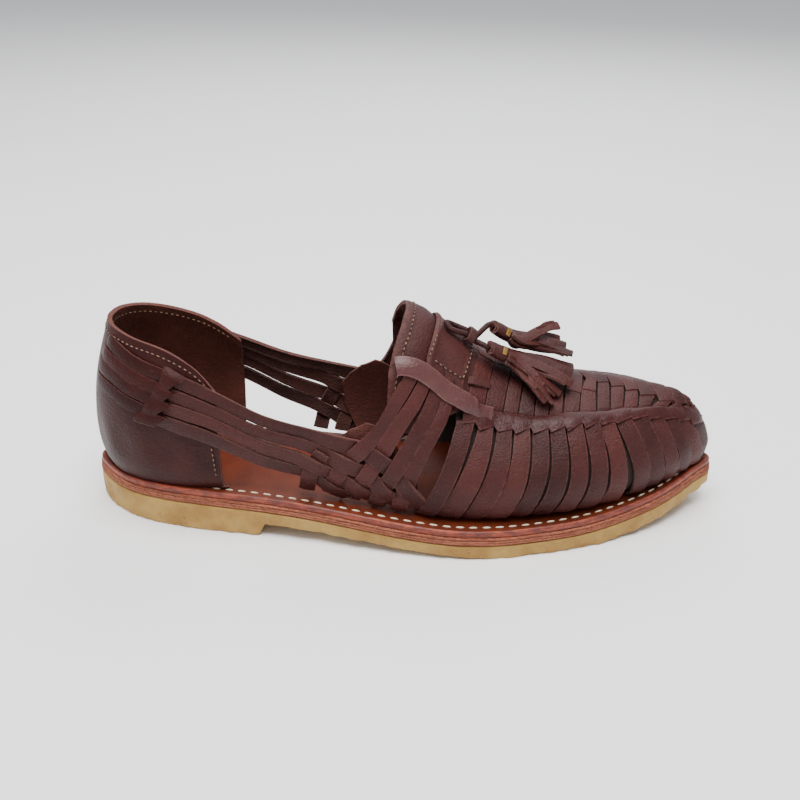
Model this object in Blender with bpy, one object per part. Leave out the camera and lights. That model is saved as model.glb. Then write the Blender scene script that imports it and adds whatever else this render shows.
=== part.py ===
"""Right-foot woven leather sandal on a crepe sole, with a stitched saddle and two tassels.

Metres, +Z up. +X points from the heel to the toe. The outer side of the foot is -Y, the inner
side +Y, and the floor is Z = 0. The origin is on the floor, under the middle of the heel.
"""
import math

import bmesh
import bpy
import numpy as np

# Driving sizes of the shoe
SOLE_LENGTH = 0.296
SOLE_WIDTH = 0.0975
UPPER_HEIGHT = 0.083
HEEL_SEAT = 0.021
TOE_LIFT = 0.0105
WAIST_LIFT = 0.0062
HEEL_LENGTH = 0.082
HEEL_REST_SHARE = 0.135
HEEL_REST = HEEL_REST_SHARE * SOLE_LENGTH

# Sole layers
PLATFORM_THICKNESS = 0.0031
MIDSOLE_THICKNESS = 0.0037
MIDSOLE_MARGIN = 0.0003
CREPE_MARGIN = 0.0007
EDGE_ROUND = 0.0008
GROOVE_DEPTH = 0.0006
GROOVE_HEIGHT = 0.0007
GROOVE_DROP = 0.0011
BREAST_SLANT = 0.0025
CLEARANCE = 0.0003

# Leather thicknesses and strip sizes
WALL = 0.0020
COUNTER_WALL = 0.0022
COUNTER_RIM = 0.0005
SHINGLE = 0.0012
GAP_WIDTH = 0.0012
STRAP_WIDTH = 0.0080
STRAP_THICKNESS = 0.0019
LINING_WALL = 0.0011
CUFF_WALL = 0.0018
CUFF_RIM = 0.0010
PATCH_WALL = 0.0015
BAND_WIDTH = 0.0078
BAND_STEP = 0.0006
RIDGE_RISE = 0.0010
OVER_COUNTER = COUNTER_WALL + 0.0008
OVER_SADDLE = CUFF_WALL + 0.0009
LAYER_STEP = 0.00005

# Thong and tassels
THONG_DIAMETER = 0.0026
TASSEL_HEAD_RADIUS = 0.0044
TASSEL_HEAD_LENGTH = 0.0130
STRAND_WIDTH = 0.0042
STRAND_THICKNESS = 0.0017

STRIPS_PER_SIDE = 15
SOLE_SAMPLES = 36

# One row for each station from the back of the heel to the toe, shared by every piece.
# x: share of SOLE_LENGTH. outer, inner, bulge, lean_outer, lean_inner: shares of SOLE_WIDTH.
# wide, top_outer, top_inner, crown: rises over the platform, shares of UPPER_HEIGHT.
LAST_COLUMNS = ("x", "outer", "inner", "bulge", "wide", "lean_outer", "lean_inner",
                "top_outer", "top_inner", "crown")
LAST_ROWS = (
    (0.022, 0.000, 0.000, 0.029, 0.350, 0.092, 0.092, 0.880, 0.880, 0.880),
    (0.044, 0.144, 0.144, 0.037, 0.350, 0.056, 0.056, 0.880, 0.862, 0.880),
    (0.088, 0.236, 0.236, 0.044, 0.350, 0.036, 0.036, 0.850, 0.825, 0.860),
    (0.152, 0.287, 0.282, 0.036, 0.325, 0.026, 0.026, 0.795, 0.747, 0.800),
    (0.216, 0.297, 0.282, 0.041, 0.295, 0.015, 0.015, 0.645, 0.627, 0.700),
    (0.287, 0.292, 0.267, 0.046, 0.240, -0.020, -0.020, 0.548, 0.554, 0.640),
    (0.355, 0.287, 0.257, 0.051, 0.230, -0.030, -0.030, 0.512, 0.542, 0.640),
    (0.422, 0.318, 0.267, 0.051, 0.217, -0.010, -0.020, 0.572, 0.602, 0.720),
    (0.490, 0.352, 0.275, 0.050, 0.235, 0.070, -0.012, 0.789, 0.795, 1.000),
    (0.557, 0.367, 0.300, 0.060, 0.223, 0.116, 0.034, 0.657, 0.669, 0.890),
    (0.625, 0.360, 0.339, 0.070, 0.205, 0.124, 0.073, 0.530, 0.554, 0.722),
    (0.693, 0.317, 0.353, 0.082, 0.193, 0.081, 0.071, 0.470, 0.494, 0.627),
    (0.760, 0.266, 0.348, 0.087, 0.175, 0.050, 0.055, 0.470, 0.482, 0.590),
    (0.828, 0.184, 0.307, 0.087, 0.163, 0.040, 0.045, 0.452, 0.464, 0.548),
    (0.885, 0.091, 0.245, 0.082, 0.150, 0.035, 0.040, 0.434, 0.434, 0.490),
    (0.939, -0.012, 0.167, 0.068, 0.139, 0.032, 0.037, 0.386, 0.386, 0.418),
    (0.974, -0.092, 0.092, 0.030, 0.114, 0.060, 0.060, 0.307, 0.307, 0.307),
)

# Edge of the sole at the same kind of stations: shares of SOLE_LENGTH and SOLE_WIDTH.
SOLE_COLUMNS = ("x", "outer", "inner")
SOLE_ROWS = (
    (0.000, 0.000, 0.000),
    (0.020, 0.111, 0.113),
    (0.064, 0.232, 0.231),
    (0.125, 0.304, 0.303),
    (0.203, 0.349, 0.328),
    (0.287, 0.379, 0.323),
    (0.365, 0.413, 0.308),
    (0.439, 0.456, 0.318),
    (0.514, 0.495, 0.359),
    (0.581, 0.513, 0.410),
    (0.649, 0.496, 0.456),
    (0.716, 0.449, 0.482),
    (0.784, 0.385, 0.477),
    (0.851, 0.292, 0.431),
    (0.912, 0.179, 0.354),
    (0.966, 0.031, 0.231),
    (1.000, -0.082, 0.082),
)

# Top of the platform: share of SOLE_LENGTH, share of HEEL_SEAT.
TOP_LINE = ((0.00, 1.000), (0.12, 1.000), (0.22, 0.995), (0.32, 0.940), (0.42, 0.840), (0.52, 0.730),
            (0.61, 0.670), (0.70, 0.665), (0.78, 0.700), (0.86, 0.820), (0.93, 0.970), (1.00, 1.150))
# Where the forefoot leaves and regains the floor, shares of SOLE_LENGTH.
FOREFOOT_START = 0.64
FOREFOOT_END = 0.79
WIDE_SHARE = 0.42

LAST_STATION = len(LAST_ROWS) - 1
TURN = 2 * LAST_STATION


# Curves

def curve_at(rows, place, closed):
    """Smooth curve through evenly numbered rows."""
    count = len(rows)
    start = math.floor(place)
    share = place - start
    picks = []
    for step in (-1, 0, 1, 2):
        index = start + step
        index = index % count if closed else min(max(index, 0), count - 1)
        picks.append(rows[index])
    before, left, right, after = picks
    return 0.5 * (2 * left + (right - before) * share
                  + (2 * before - 5 * left + 4 * right - after) * share ** 2
                  + (3 * left - before - 3 * right + after) * share ** 3)


def line_at(table, x):
    """Smooth height through a table of places and heights."""
    places = np.array([row[0] for row in table])
    heights = np.array([row[1] for row in table])
    slopes = np.gradient(heights, places)
    k = int(np.clip(np.searchsorted(places, x) - 1, 0, len(places) - 2))
    span = places[k + 1] - places[k]
    f = (x - places[k]) / span
    return ((2 * f ** 3 - 3 * f ** 2 + 1) * heights[k] + (f ** 3 - 2 * f ** 2 + f) * span * slopes[k]
            + (3 * f ** 2 - 2 * f ** 3) * heights[k + 1] + (f ** 3 - f ** 2) * span * slopes[k + 1])


def platform_top(x):
    return HEEL_SEAT * line_at(TOP_LINE, x / SOLE_LENGTH)


def both_sides(outer_rows, inner_rows):
    """One closed ring: the outer side from heel to toe, then the inner side back."""
    return np.concatenate([outer_rows, inner_rows[-2:0:-1]])


def outward(rows, place):
    """Level direction pointing out of a ring, from the slope of its x and y columns."""
    slope = curve_at(rows, place + 0.02, True) - curve_at(rows, place - 0.02, True)
    length = math.hypot(slope[0], slope[1])
    return np.array([slope[1] / length, -slope[0] / length])


last = {name: np.array([row[k] for row in LAST_ROWS]) for k, name in enumerate(LAST_COLUMNS)}
LAST_RING = both_sides(
    np.stack([SOLE_LENGTH * last["x"], -SOLE_WIDTH * last["outer"], SOLE_WIDTH * last["bulge"],
              UPPER_HEIGHT * last["wide"], SOLE_WIDTH * last["lean_outer"],
              UPPER_HEIGHT * last["top_outer"]], 1),
    np.stack([SOLE_LENGTH * last["x"], SOLE_WIDTH * last["inner"], SOLE_WIDTH * last["bulge"],
              UPPER_HEIGHT * last["wide"], SOLE_WIDTH * last["lean_inner"],
              UPPER_HEIGHT * last["top_inner"]], 1))
CROWN = (UPPER_HEIGHT * last["crown"])[:, None]


# The last: station runs 0 to 16 from heel to toe, girth runs -2 at the outer foot line,
# -1 at the outer top line, 0 at the crown, and on to 2 at the inner foot line.

def side_lines(place):
    """Foot, widest and top points of the last's side at a place on the ring."""
    x, y, bulge, wide, lean, top = curve_at(LAST_RING, place, True)
    out_x, out_y = outward(LAST_RING, place)
    floor = platform_top(x) + CLEARANCE
    foot = np.array([x, y, floor])
    widest = np.array([x + bulge * out_x, y + bulge * out_y, floor + wide])
    crest = np.array([x - lean * out_x, y - lean * out_y, floor + top])
    return foot, widest, crest


def side_point(place, rise):
    foot, widest, crest = side_lines(place)
    return (foot * (rise - WIDE_SHARE) * (rise - 1) / WIDE_SHARE
            + widest * rise * (rise - 1) / (WIDE_SHARE * (WIDE_SHARE - 1))
            + crest * rise * (rise - WIDE_SHARE) / (1 - WIDE_SHARE))


def crown_point(station, across):
    outer_crest = side_lines(station)[2]
    inner_crest = side_lines(TURN - station)[2]
    middle = (outer_crest + inner_crest) / 2
    middle[2] = platform_top(middle[0]) + CLEARANCE + curve_at(CROWN, station, False)[0]
    return (outer_crest * across * (across - 1) / 2 + middle * (1 - across ** 2)
            + inner_crest * across * (across + 1) / 2)


def last_point(station, girth):
    if girth <= -1:
        return side_point(station, girth + 2)
    if girth >= 1:
        return side_point(TURN - station, 2 - girth)
    return crown_point(station, girth)


def last_normal(station, girth):
    step = 0.01
    ahead = station if abs(girth) < 1 and station > LAST_STATION - step else station + step
    along = last_point(ahead, girth) - last_point(station - step, girth)
    around = last_point(station, min(girth + step, 2)) - last_point(station, max(girth - step, -2))
    normal = np.cross(along, around)
    return normal / np.linalg.norm(normal)


def on_last(station, girth, lift):
    """Point lifted off the last, kept clear of the platform under it."""
    point = last_point(station, girth) + lift * last_normal(station, girth)
    point[2] = max(point[2], platform_top(point[0]) + CLEARANCE)
    return point


# Scene and meshes

for old in list(bpy.data.objects):
    bpy.data.objects.remove(old, do_unlink=True)
shoe = bpy.data.collections.new("woven_sandal")
bpy.context.scene.collection.children.link(shoe)


def material(name, color, roughness, metallic=0.0):
    made = bpy.data.materials.new(name)
    made.use_nodes = True
    shader = made.node_tree.nodes["Principled BSDF"]
    shader.inputs["Base Color"].default_value = (*color, 1.0)
    shader.inputs["Roughness"].default_value = roughness
    shader.inputs["Metallic"].default_value = metallic
    return made


CREPE = material("crepe_rubber", (0.42, 0.33, 0.15), 0.75)
EDGE_LEATHER = material("edge_leather", (0.36, 0.14, 0.08), 0.60)
TAN_LEATHER = material("tan_leather", (0.38, 0.10, 0.03), 0.50)
BROWN_LEATHER = material("brown_leather", (0.10, 0.035, 0.028), 0.42)
LINING_LEATHER = material("lining_leather", (0.055, 0.022, 0.018), 0.70)


def from_heel_rest(point):
    """Place in the shoe's frame of a point that was measured from the back of the heel."""
    x, y, z = map(float, point)
    return (x - HEEL_REST, y, z)


def add_object(name, points, faces, finish):
    mesh = bpy.data.meshes.new(name)
    mesh.from_pydata([from_heel_rest(point) for point in points], [], faces)
    shape = bmesh.new()
    shape.from_mesh(mesh)
    bmesh.ops.triangulate(shape, faces=[face for face in shape.faces if len(face.verts) > 3])
    bmesh.ops.recalc_face_normals(shape, faces=shape.faces)
    shape.to_mesh(mesh)
    shape.free()
    mesh.materials.append(finish)
    made = bpy.data.objects.new(name, mesh)
    shoe.objects.link(made)
    return made


def wall(name, quads, outside, inside, finish):
    """Closed wall between two skins that share the same faces; free edges get a rim."""
    keys = sorted({key for quad in quads for key in quad})
    number = {key: k for k, key in enumerate(keys)}
    points = [outside(key) for key in keys] + [inside(key) for key in keys]
    faces = [[number[key] for key in quad] for quad in quads]
    edges = {(face[k - 1], face[k]) for face in faces for k in range(len(face))}
    back = len(keys)
    closed = list(faces)
    closed += [[back + k for k in reversed(face)] for face in faces]
    closed += [[b, a, a + back, b + back] for a, b in sorted(edges) if (b, a) not in edges]
    return add_object(name, points, closed, finish)


def grid(columns, rows):
    return [((c, r), (c + 1, r), (c + 1, r + 1), (c, r + 1))
            for c in range(columns - 1) for r in range(rows - 1)]


def loft(name, sections, finish):
    """Closed solid through sections of equal point counts."""
    size = len(sections[0])
    points = [point for section in sections for point in section]
    faces = [list(range(size)), [size * (len(sections) - 1) + k for k in reversed(range(size))]]
    for k in range(len(sections) - 1):
        for j in range(size):
            a = size * k + j
            b = size * k + (j + 1) % size
            faces.append([a, a + size, b + size, b])
    return add_object(name, points, faces, finish)


def fuse(base, pieces):
    """Union of overlapping pieces into the base, which keeps its name."""
    for piece in pieces:
        joined = base.modifiers.new("fuse_" + piece.name, 'BOOLEAN')
        joined.operation = 'UNION'
        joined.solver = 'EXACT'
        joined.object = piece
    bpy.context.view_layer.update()
    evaluated = base.evaluated_get(bpy.context.evaluated_depsgraph_get())
    mesh = bpy.data.meshes.new_from_object(evaluated)
    base.modifiers.clear()
    base.data = mesh
    for piece in pieces:
        bpy.data.objects.remove(piece, do_unlink=True)
    return base


# Sole

sole = {name: np.array([row[k] for row in SOLE_ROWS]) for k, name in enumerate(SOLE_COLUMNS)}
SOLE_RING = both_sides(np.stack([SOLE_LENGTH * sole["x"], -SOLE_WIDTH * sole["outer"]], 1),
                       np.stack([SOLE_LENGTH * sole["x"], SOLE_WIDTH * sole["inner"]], 1))


def sole_station(x):
    return float(np.interp(x, SOLE_LENGTH * sole["x"], range(len(SOLE_ROWS))))


BREAST_STATION = sole_station(HEEL_LENGTH)
BREAST_TOP_STATION = sole_station(HEEL_LENGTH + BREAST_SLANT)


def ground_line(station):
    """Underside of the crepe at a station."""
    x = np.interp(station, range(len(SOLE_ROWS)), SOLE_LENGTH * sole["x"])
    start = SOLE_LENGTH * FOREFOOT_START
    end = SOLE_LENGTH * FOREFOOT_END
    if station <= BREAST_STATION + 1e-6:
        return 0.0
    if x < start:
        share = (x - HEEL_LENGTH) / (start - HEEL_LENGTH)
        return WAIST_LIFT * (1 - share ** 1.6) ** 1.3
    if x <= end:
        return 0.0
    return TOE_LIFT * ((x - end) / (SOLE_LENGTH - end)) ** 1.6


def sole_stations():
    even = np.linspace(0, LAST_STATION, SOLE_SAMPLES + 1)
    close = 0.2
    kept = [s for s in even if abs(s - BREAST_STATION) > close]
    return sorted(kept + [BREAST_STATION, BREAST_TOP_STATION])


def sole_layer(name, rings, finish):
    """Layer of the sole. A ring is a margin out of the edge and a height for a station and x."""
    stations = sole_stations()
    places = stations + [TURN - s for s in stations[-2:0:-1]]
    count = len(places)
    levels = stations + stations[-2:0:-1]
    points = []
    for margin, height in rings:
        for place, station in zip(places, levels):
            x, y = curve_at(SOLE_RING, place, True)
            out_x, out_y = outward(SOLE_RING, place)
            points.append((x + margin * out_x, y + margin * out_y, height(station, x)))
    faces = []
    for ring in range(len(rings) - 1):
        for k in range(count):
            a = ring * count + k
            b = ring * count + (k + 1) % count
            faces.append([a, b, b + count, a + count])
    for ring in (0, len(rings) - 1):
        low = ring * count
        for k in range(len(stations) - 1):
            face = [low + k, low + k + 1, low + (count - k - 1) % count, low + (count - k) % count]
            faces.append(list(dict.fromkeys(face)))
    return add_object(name, points, faces, finish)


def below_top(depth):
    return lambda station, x: platform_top(x) - depth


MIDSOLE_TOP = PLATFORM_THICKNESS + CLEARANCE
MIDSOLE_BOTTOM = MIDSOLE_TOP + MIDSOLE_THICKNESS
CREPE_TOP = MIDSOLE_BOTTOM + CLEARANCE

sole_layer("platform", [
    (-EDGE_ROUND, below_top(0.0)),
    (0.0, below_top(EDGE_ROUND)),
    (0.0, below_top(PLATFORM_THICKNESS)),
], TAN_LEATHER)
sole_layer("midsole", [
    (MIDSOLE_MARGIN, below_top(MIDSOLE_TOP)),
    (MIDSOLE_MARGIN, below_top(MIDSOLE_TOP + GROOVE_DROP)),
    (MIDSOLE_MARGIN - GROOVE_DEPTH, below_top(MIDSOLE_TOP + GROOVE_DROP + GROOVE_HEIGHT / 2)),
    (MIDSOLE_MARGIN, below_top(MIDSOLE_TOP + GROOVE_DROP + GROOVE_HEIGHT)),
    (MIDSOLE_MARGIN, below_top(MIDSOLE_BOTTOM)),
], EDGE_LEATHER)
sole_layer("outsole", [
    (CREPE_MARGIN, below_top(CREPE_TOP)),
    (CREPE_MARGIN, lambda station, x: ground_line(station) + EDGE_ROUND),
    (CREPE_MARGIN - EDGE_ROUND, lambda station, x: ground_line(station)),
], CREPE)


# Strips laid on the last

def thicken_path(path, parts):
    """Smooth the chosen points of a path into more of them."""
    rows = np.array(path, float)
    places = np.linspace(0, len(rows) - 1, (len(rows) - 1) * parts + 1)
    return [curve_at(rows, place, False) for place in places]


def strip(name, path, width, thickness, parts):
    """Flat strip along rows of station, girth and lift of its underside."""
    rows = thicken_path(path, parts)
    centres = [on_last(*row) for row in rows]
    sections = []
    for k, row in enumerate(rows):
        along = centres[min(k + 1, len(rows) - 1)] - centres[max(k - 1, 0)]
        normal = last_normal(row[0], row[1])
        side = np.cross(along, normal)
        side *= width / 2 / np.linalg.norm(side)
        top = normal * thickness
        sections.append([centres[k] - side, centres[k] + side,
                         centres[k] + side + top, centres[k] - side + top])
    return loft(name, sections, BROWN_LEATHER)


def mirrored(path, side):
    return [(station, side * -girth, lift) for station, girth, lift in path]


SIDES = (("outer", -1), ("inner", 1))


# Heel counter: a bent wall with its strap slots raised on it

COUNTER_END = 4.08
COUNTER_COLUMNS = 27
COUNTER_RISES = (0.0, 0.2, 0.42, 0.62, 0.8, 0.94, 1.0)
FRONT_DROP = 0.07

# Buried straps behind the slots and the strip that holds them: station, girth.
BURIED_STRAPS = (
    ((1.34, -1.075), (1.80, -1.080), (2.40, -1.105), (2.90, -1.150)),
    ((1.20, -1.160), (1.70, -1.165), (2.30, -1.195), (2.72, -1.232)),
    ((1.06, -1.235), (1.60, -1.240), (2.20, -1.267), (2.56, -1.301)),
    ((1.00, -1.322), (1.50, -1.328), (2.05, -1.355), (2.37, -1.392)),
)
BURIED_WIDTH = 0.0066
BURIED_RISE = 0.65 * STRAP_THICKNESS
SLOT_STRIP = ((3.15, -1.085), (2.98, -1.194), (2.75, -1.321), (2.44, -1.478))
SLOT_STRIP_SINK = 0.0006
SLOT_STRIP_THICKNESS = 0.0022


def counter_rise(column, row):
    """Rise on the counter, with the two front corners rounded down."""
    share = column / (COUNTER_COLUMNS - 1)
    end = max(0.0, 1 - min(share, 1 - share) * (COUNTER_COLUMNS - 1))
    return COUNTER_RISES[row] * (1 - FRONT_DROP * end)


def counter_point(key, lift):
    column, row = key
    place = COUNTER_END * (1 - 2 * column / (COUNTER_COLUMNS - 1))
    rise = counter_rise(column, row)
    if place >= 0:
        return on_last(place, rise - 2, lift)
    return on_last(-place, 2 - rise, lift)


def counter_outside(key):
    rim = COUNTER_RIM if key[1] >= len(COUNTER_RISES) - 2 else 0.0
    return counter_point(key, COUNTER_WALL + rim)


heel_counter = wall("heel_counter", grid(COUNTER_COLUMNS, len(COUNTER_RISES)), counter_outside,
                    lambda key: counter_point(key, 0.0), BROWN_LEATHER)
slotted = []
for side_name, side in SIDES:
    for k, points in enumerate(BURIED_STRAPS):
        lift = COUNTER_WALL + BURIED_RISE - STRAP_THICKNESS - LAYER_STEP * k
        path = mirrored([(s, g, lift) for s, g in points], side)
        slotted.append(strip(f"buried_{side_name}_{k}", path, BURIED_WIDTH, STRAP_THICKNESS, 1))
    path = mirrored([(s, g, COUNTER_WALL - SLOT_STRIP_SINK) for s, g in SLOT_STRIP], side)
    slotted.append(strip(f"slot_strip_{side_name}", path, STRAP_WIDTH, SLOT_STRIP_THICKNESS, 1))
fuse(heel_counter, slotted)


# Woven vamp: side strips, ridge and plug as one wall, with gaps cut between the side strips

VAMP_REAR_FOOT = 9.1
VAMP_REAR_TOP = 9.75
TOE_SHORTFALL = 0.28
VAMP_TOE = LAST_STATION - TOE_SHORTFALL
SIDE_RISES = (0.0, 0.14, 0.44, 0.76, 0.92, 1.0)
GAP_ROWS = (1, 2)
WIDE_GAP_STRIP = 8
WIDE_GAP_WIDTH = 0.0030
RIDGE_SHARE = 0.86
PLUG_ACROSS = (-RIDGE_SHARE, -0.45, 0.0, 0.45, RIDGE_SHARE)
PLUG_SLANT = 0.16
PLUG_END = VAMP_TOE + 0.12
RIDGE_ROW = 4


def vamp_columns():
    """Columns of one side as strip number, share along it, and lift."""
    columns = []
    for k in range(STRIPS_PER_SIDE):
        columns.append((k, 0.0, WALL))
        columns.append((k, 1.0, WALL + SHINGLE))
    columns.append((STRIPS_PER_SIDE, 0.0, WALL))
    return columns


VAMP_COLUMNS = vamp_columns()
SIDE_COUNT = len(VAMP_COLUMNS)
RING_COUNT = 2 * SIDE_COUNT


def vamp_station(column, rise):
    number, share, lift = VAMP_COLUMNS[column]
    foot_step = (VAMP_TOE - VAMP_REAR_FOOT) / STRIPS_PER_SIDE
    top_step = (VAMP_TOE - VAMP_REAR_TOP) / STRIPS_PER_SIDE
    width = WIDE_GAP_WIDTH if number == WIDE_GAP_STRIP else GAP_WIDTH
    slot = width / SOLE_LENGTH * LAST_STATION
    foot = VAMP_REAR_FOOT + foot_step * number + (foot_step - slot) * share
    top = VAMP_REAR_TOP + top_step * number + (top_step - slot) * share
    return foot + (top - foot) * rise


def vamp_place(key):
    """Station, girth and lift for a key: ring column and row, or plug column and row."""
    kind, column, row = key
    if kind == "ring":
        inner = column >= SIDE_COUNT
        column = RING_COUNT - 1 - column if inner else column
        rise = SIDE_RISES[row]
        girth = rise - 2
        lift = VAMP_COLUMNS[column][2] + (RIDGE_RISE if row >= RIDGE_ROW else 0.0)
        return vamp_station(column, rise), -girth if inner else girth, lift
    across = PLUG_ACROSS[row]
    ridge = RIDGE_RISE if abs(across) >= RIDGE_SHARE else 0.0
    station = vamp_station(column, 1.0) + PLUG_SLANT * (1 - abs(across))
    return min(station, PLUG_END), across, VAMP_COLUMNS[column][2] + ridge


def vamp_quads():
    quads = []
    top = len(SIDE_RISES) - 1
    for c in range(RING_COUNT - 1):
        mirror = RING_COUNT - 2 - c if c >= SIDE_COUNT else c
        slot = mirror % 2 == 1 and c != SIDE_COUNT - 1
        for r in range(top):
            if slot and r in GAP_ROWS:
                continue
            quads.append((("ring", c, r), ("ring", c + 1, r), ("ring", c + 1, r + 1), ("ring", c, r + 1)))
    rows = len(PLUG_ACROSS)

    def plug_key(column, row):
        if row < 0:
            return ("ring", column, top)
        if row >= rows:
            return ("ring", RING_COUNT - 1 - column, top)
        return ("plug", column, row)

    for c in range(SIDE_COUNT - 1):
        for r in range(-1, rows):
            quads.append((plug_key(c, r), plug_key(c + 1, r), plug_key(c + 1, r + 1), plug_key(c, r + 1)))
    quads.append(tuple(plug_key(SIDE_COUNT - 1, r) for r in range(rows, -2, -1)))
    return quads


def vamp_outside(key):
    return on_last(*vamp_place(key))


def vamp_inside(key):
    station, girth, _ = vamp_place(key)
    return on_last(station, girth, 0.0)


upper = wall("woven_upper", vamp_quads(), vamp_outside, vamp_inside, BROWN_LEATHER)

# Side straps, from the slots in the counter forward and down through the weave: station, girth.
SIDE_STRAPS = (
    ((3.52, -1.145), (4.20, -1.130), (4.80, -1.145), (5.90, -1.200), (6.70, -1.270), (7.24, -1.350),
     (7.61, -1.430), (7.96, -1.530), (8.26, -1.640), (8.60, -1.820)),
    ((3.34, -1.250), (4.10, -1.250), (4.80, -1.275), (5.90, -1.340), (6.45, -1.410), (6.92, -1.480),
     (7.43, -1.580), (7.75, -1.710), (8.08, -1.860)),
    ((3.18, -1.350), (4.00, -1.360), (4.80, -1.415), (5.90, -1.530), (6.35, -1.590), (6.74, -1.650),
     (7.16, -1.740), (7.56, -1.870)),
    ((2.98, -1.450), (3.90, -1.490), (4.80, -1.570), (5.90, -1.690), (6.40, -1.780), (6.80, -1.870)),
)
# Strips down from the saddle band into the weave, and the first strip behind them.
CROSS_STRIPS = (
    ((6.42, -1.400), (6.22, -1.560), (6.08, -1.700), (5.99, -1.880)),
    ((8.23, -1.030), (7.95, -1.130), (7.65, -1.250), (7.24, -1.360), (6.92, -1.480), (6.72, -1.660),
     (6.54, -1.880)),
    ((8.49, -1.030), (8.31, -1.120), (8.12, -1.210), (7.75, -1.390), (7.45, -1.560), (7.22, -1.720),
     (7.06, -1.880)),
    ((8.75, -1.030), (8.64, -1.115), (8.53, -1.200), (8.32, -1.340), (8.05, -1.510), (7.78, -1.690),
     (7.60, -1.880)),
    ((9.04, -1.030), (8.90, -1.140), (8.75, -1.250), (8.46, -1.470), (8.28, -1.640), (8.13, -1.860)),
)
COUNTER_LAP = COUNTER_END + 0.2
OVER_LIFT = 0.0009
UNDER_LIFT = 0.00015
INSTEP_END_GIRTH = -1.40
WEAVE_START = 6.2
CROSS_WIDTH = 0.0076


def weave_lift(number):
    return OVER_LIFT if number % 2 else UNDER_LIFT


def strap_lift(k, index, station):
    """Underside of a side strap: over the counter, then down into the weave, over and under."""
    if station < COUNTER_LAP:
        lift = OVER_COUNTER
    elif station < WEAVE_START:
        share = (WEAVE_START - station) / (WEAVE_START - COUNTER_END)
        lift = UNDER_LIFT + (OVER_COUNTER - UNDER_LIFT) * share
    else:
        lift = weave_lift(index + k)
    return lift + LAYER_STEP * k


def cross_lift(k, index, girth):
    lift = OVER_SADDLE if girth > INSTEP_END_GIRTH else weave_lift(index + k + 1)
    return lift + LAYER_STEP * (k + len(SIDE_STRAPS))


# Saddle band: runs over the ends of the instep strips and becomes the ridge of the vamp.
BAND = (
    (7.95, -0.970, OVER_SADDLE + BAND_STEP),
    (8.50, -0.975, OVER_SADDLE + BAND_STEP),
    (9.00, -0.980, OVER_SADDLE + BAND_STEP),
    (9.45, -0.985, OVER_SADDLE + BAND_STEP),
    (9.80, -0.985, 0.0023),
    (10.10, -0.975, 0.0016),
)

woven = []
for side_name, side in SIDES:
    for k, points in enumerate(SIDE_STRAPS):
        path = [(s, g, strap_lift(k, index, s)) for index, (s, g) in enumerate(points)]
        woven.append(strip(f"strap_{side_name}_{k}", mirrored(path, side), STRAP_WIDTH, STRAP_THICKNESS, 1))
    for k, points in enumerate(CROSS_STRIPS):
        path = [(s, g, cross_lift(k, index, g)) for index, (s, g) in enumerate(points)]
        woven.append(strip(f"cross_{side_name}_{k}", mirrored(path, side), CROSS_WIDTH, STRAP_THICKNESS, 1))
    woven.append(strip(f"band_{side_name}", mirrored(BAND, side), BAND_WIDTH, STRAP_THICKNESS, 1))
fuse(upper, woven)


# Saddle: the cuff across the instep, and the stitched patch on it

# Half of the saddle from the crown down: girth, then the stations of the cuff's rear and front.
CUFF_HALF = (
    (0.00, 8.10, 9.84),
    (0.16, 8.09, 9.82),
    (0.32, 8.05, 9.79),
    (0.48, 8.01, 9.77),
    (0.64, 7.94, 9.74),
    (0.80, 7.86, 9.71),
    (1.00, 7.76, 9.56),
    (1.14, 7.78, 8.90),
    (1.28, 7.90, 8.55),
)
PATCH_HALF = (
    (0.00, 8.70, 9.52),
    (0.16, 8.69, 9.51),
    (0.32, 8.66, 9.48),
    (0.48, 8.62, 9.44),
    (0.64, 8.56, 9.40),
    (0.80, 8.50, 9.36),
)
CUFF_SHARES = (0.0, 0.12, 0.34, 0.40, 0.46, 0.72, 1.0)
CUFF_FREE_GIRTH = 0.7
CUFF_GROOVE = 0.0007
GROOVE_COLUMN = 3


def mirror_rows(half):
    """Rows of both halves, from the outer end over the crown to the inner end."""
    return [(-girth, *rest) for girth, *rest in half[:0:-1]] + list(half)


CUFF_ROWS = mirror_rows(CUFF_HALF)
PATCH_ROWS = mirror_rows(PATCH_HALF)


def row_station(rows, row, share):
    return rows[row][1] + (rows[row][2] - rows[row][1]) * share


def cuff_point(key, lift):
    column, row = key
    return on_last(row_station(CUFF_ROWS, row, CUFF_SHARES[column]), CUFF_ROWS[row][0], lift)


def cuff_outside(key):
    free = abs(CUFF_ROWS[key[1]][0]) < CUFF_FREE_GIRTH
    rim = CUFF_RIM if key[0] <= 1 and free else 0.0
    groove = CUFF_GROOVE if key[0] == GROOVE_COLUMN and free else 0.0
    return cuff_point(key, CUFF_WALL + rim - groove)


wall("saddle_cuff", grid(len(CUFF_SHARES), len(CUFF_ROWS)), cuff_outside,
     lambda key: cuff_point(key, 0.0), BROWN_LEATHER)

PATCH_COLUMNS = 4


def patch_point(key, lift):
    share = key[0] / (PATCH_COLUMNS - 1)
    return on_last(row_station(PATCH_ROWS, key[1], share), PATCH_ROWS[key[1]][0], lift)


PATCH_BASE = CUFF_WALL + 2 * CLEARANCE
PATCH_TOP = PATCH_BASE + PATCH_WALL
wall("saddle_patch", grid(PATCH_COLUMNS, len(PATCH_ROWS)),
     lambda key: patch_point(key, PATCH_TOP),
     lambda key: patch_point(key, PATCH_BASE), BROWN_LEATHER)


# Side lining: the backing piece that shows behind the weave at its upper edge

LINING_ROWS = ((-1.90, 6.90, 8.60), (-1.60, 6.60, 8.50), (-1.36, 6.52, 8.00), (-1.24, 6.74, 7.62),
               (-1.17, 7.00, 7.34))
LINING_COLUMNS = 6


def lining_point(side, key, lift):
    share = key[0] / (LINING_COLUMNS - 1)
    girth = LINING_ROWS[key[1]][0]
    return on_last(row_station(LINING_ROWS, key[1], share), side * -girth, lift)


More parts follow.
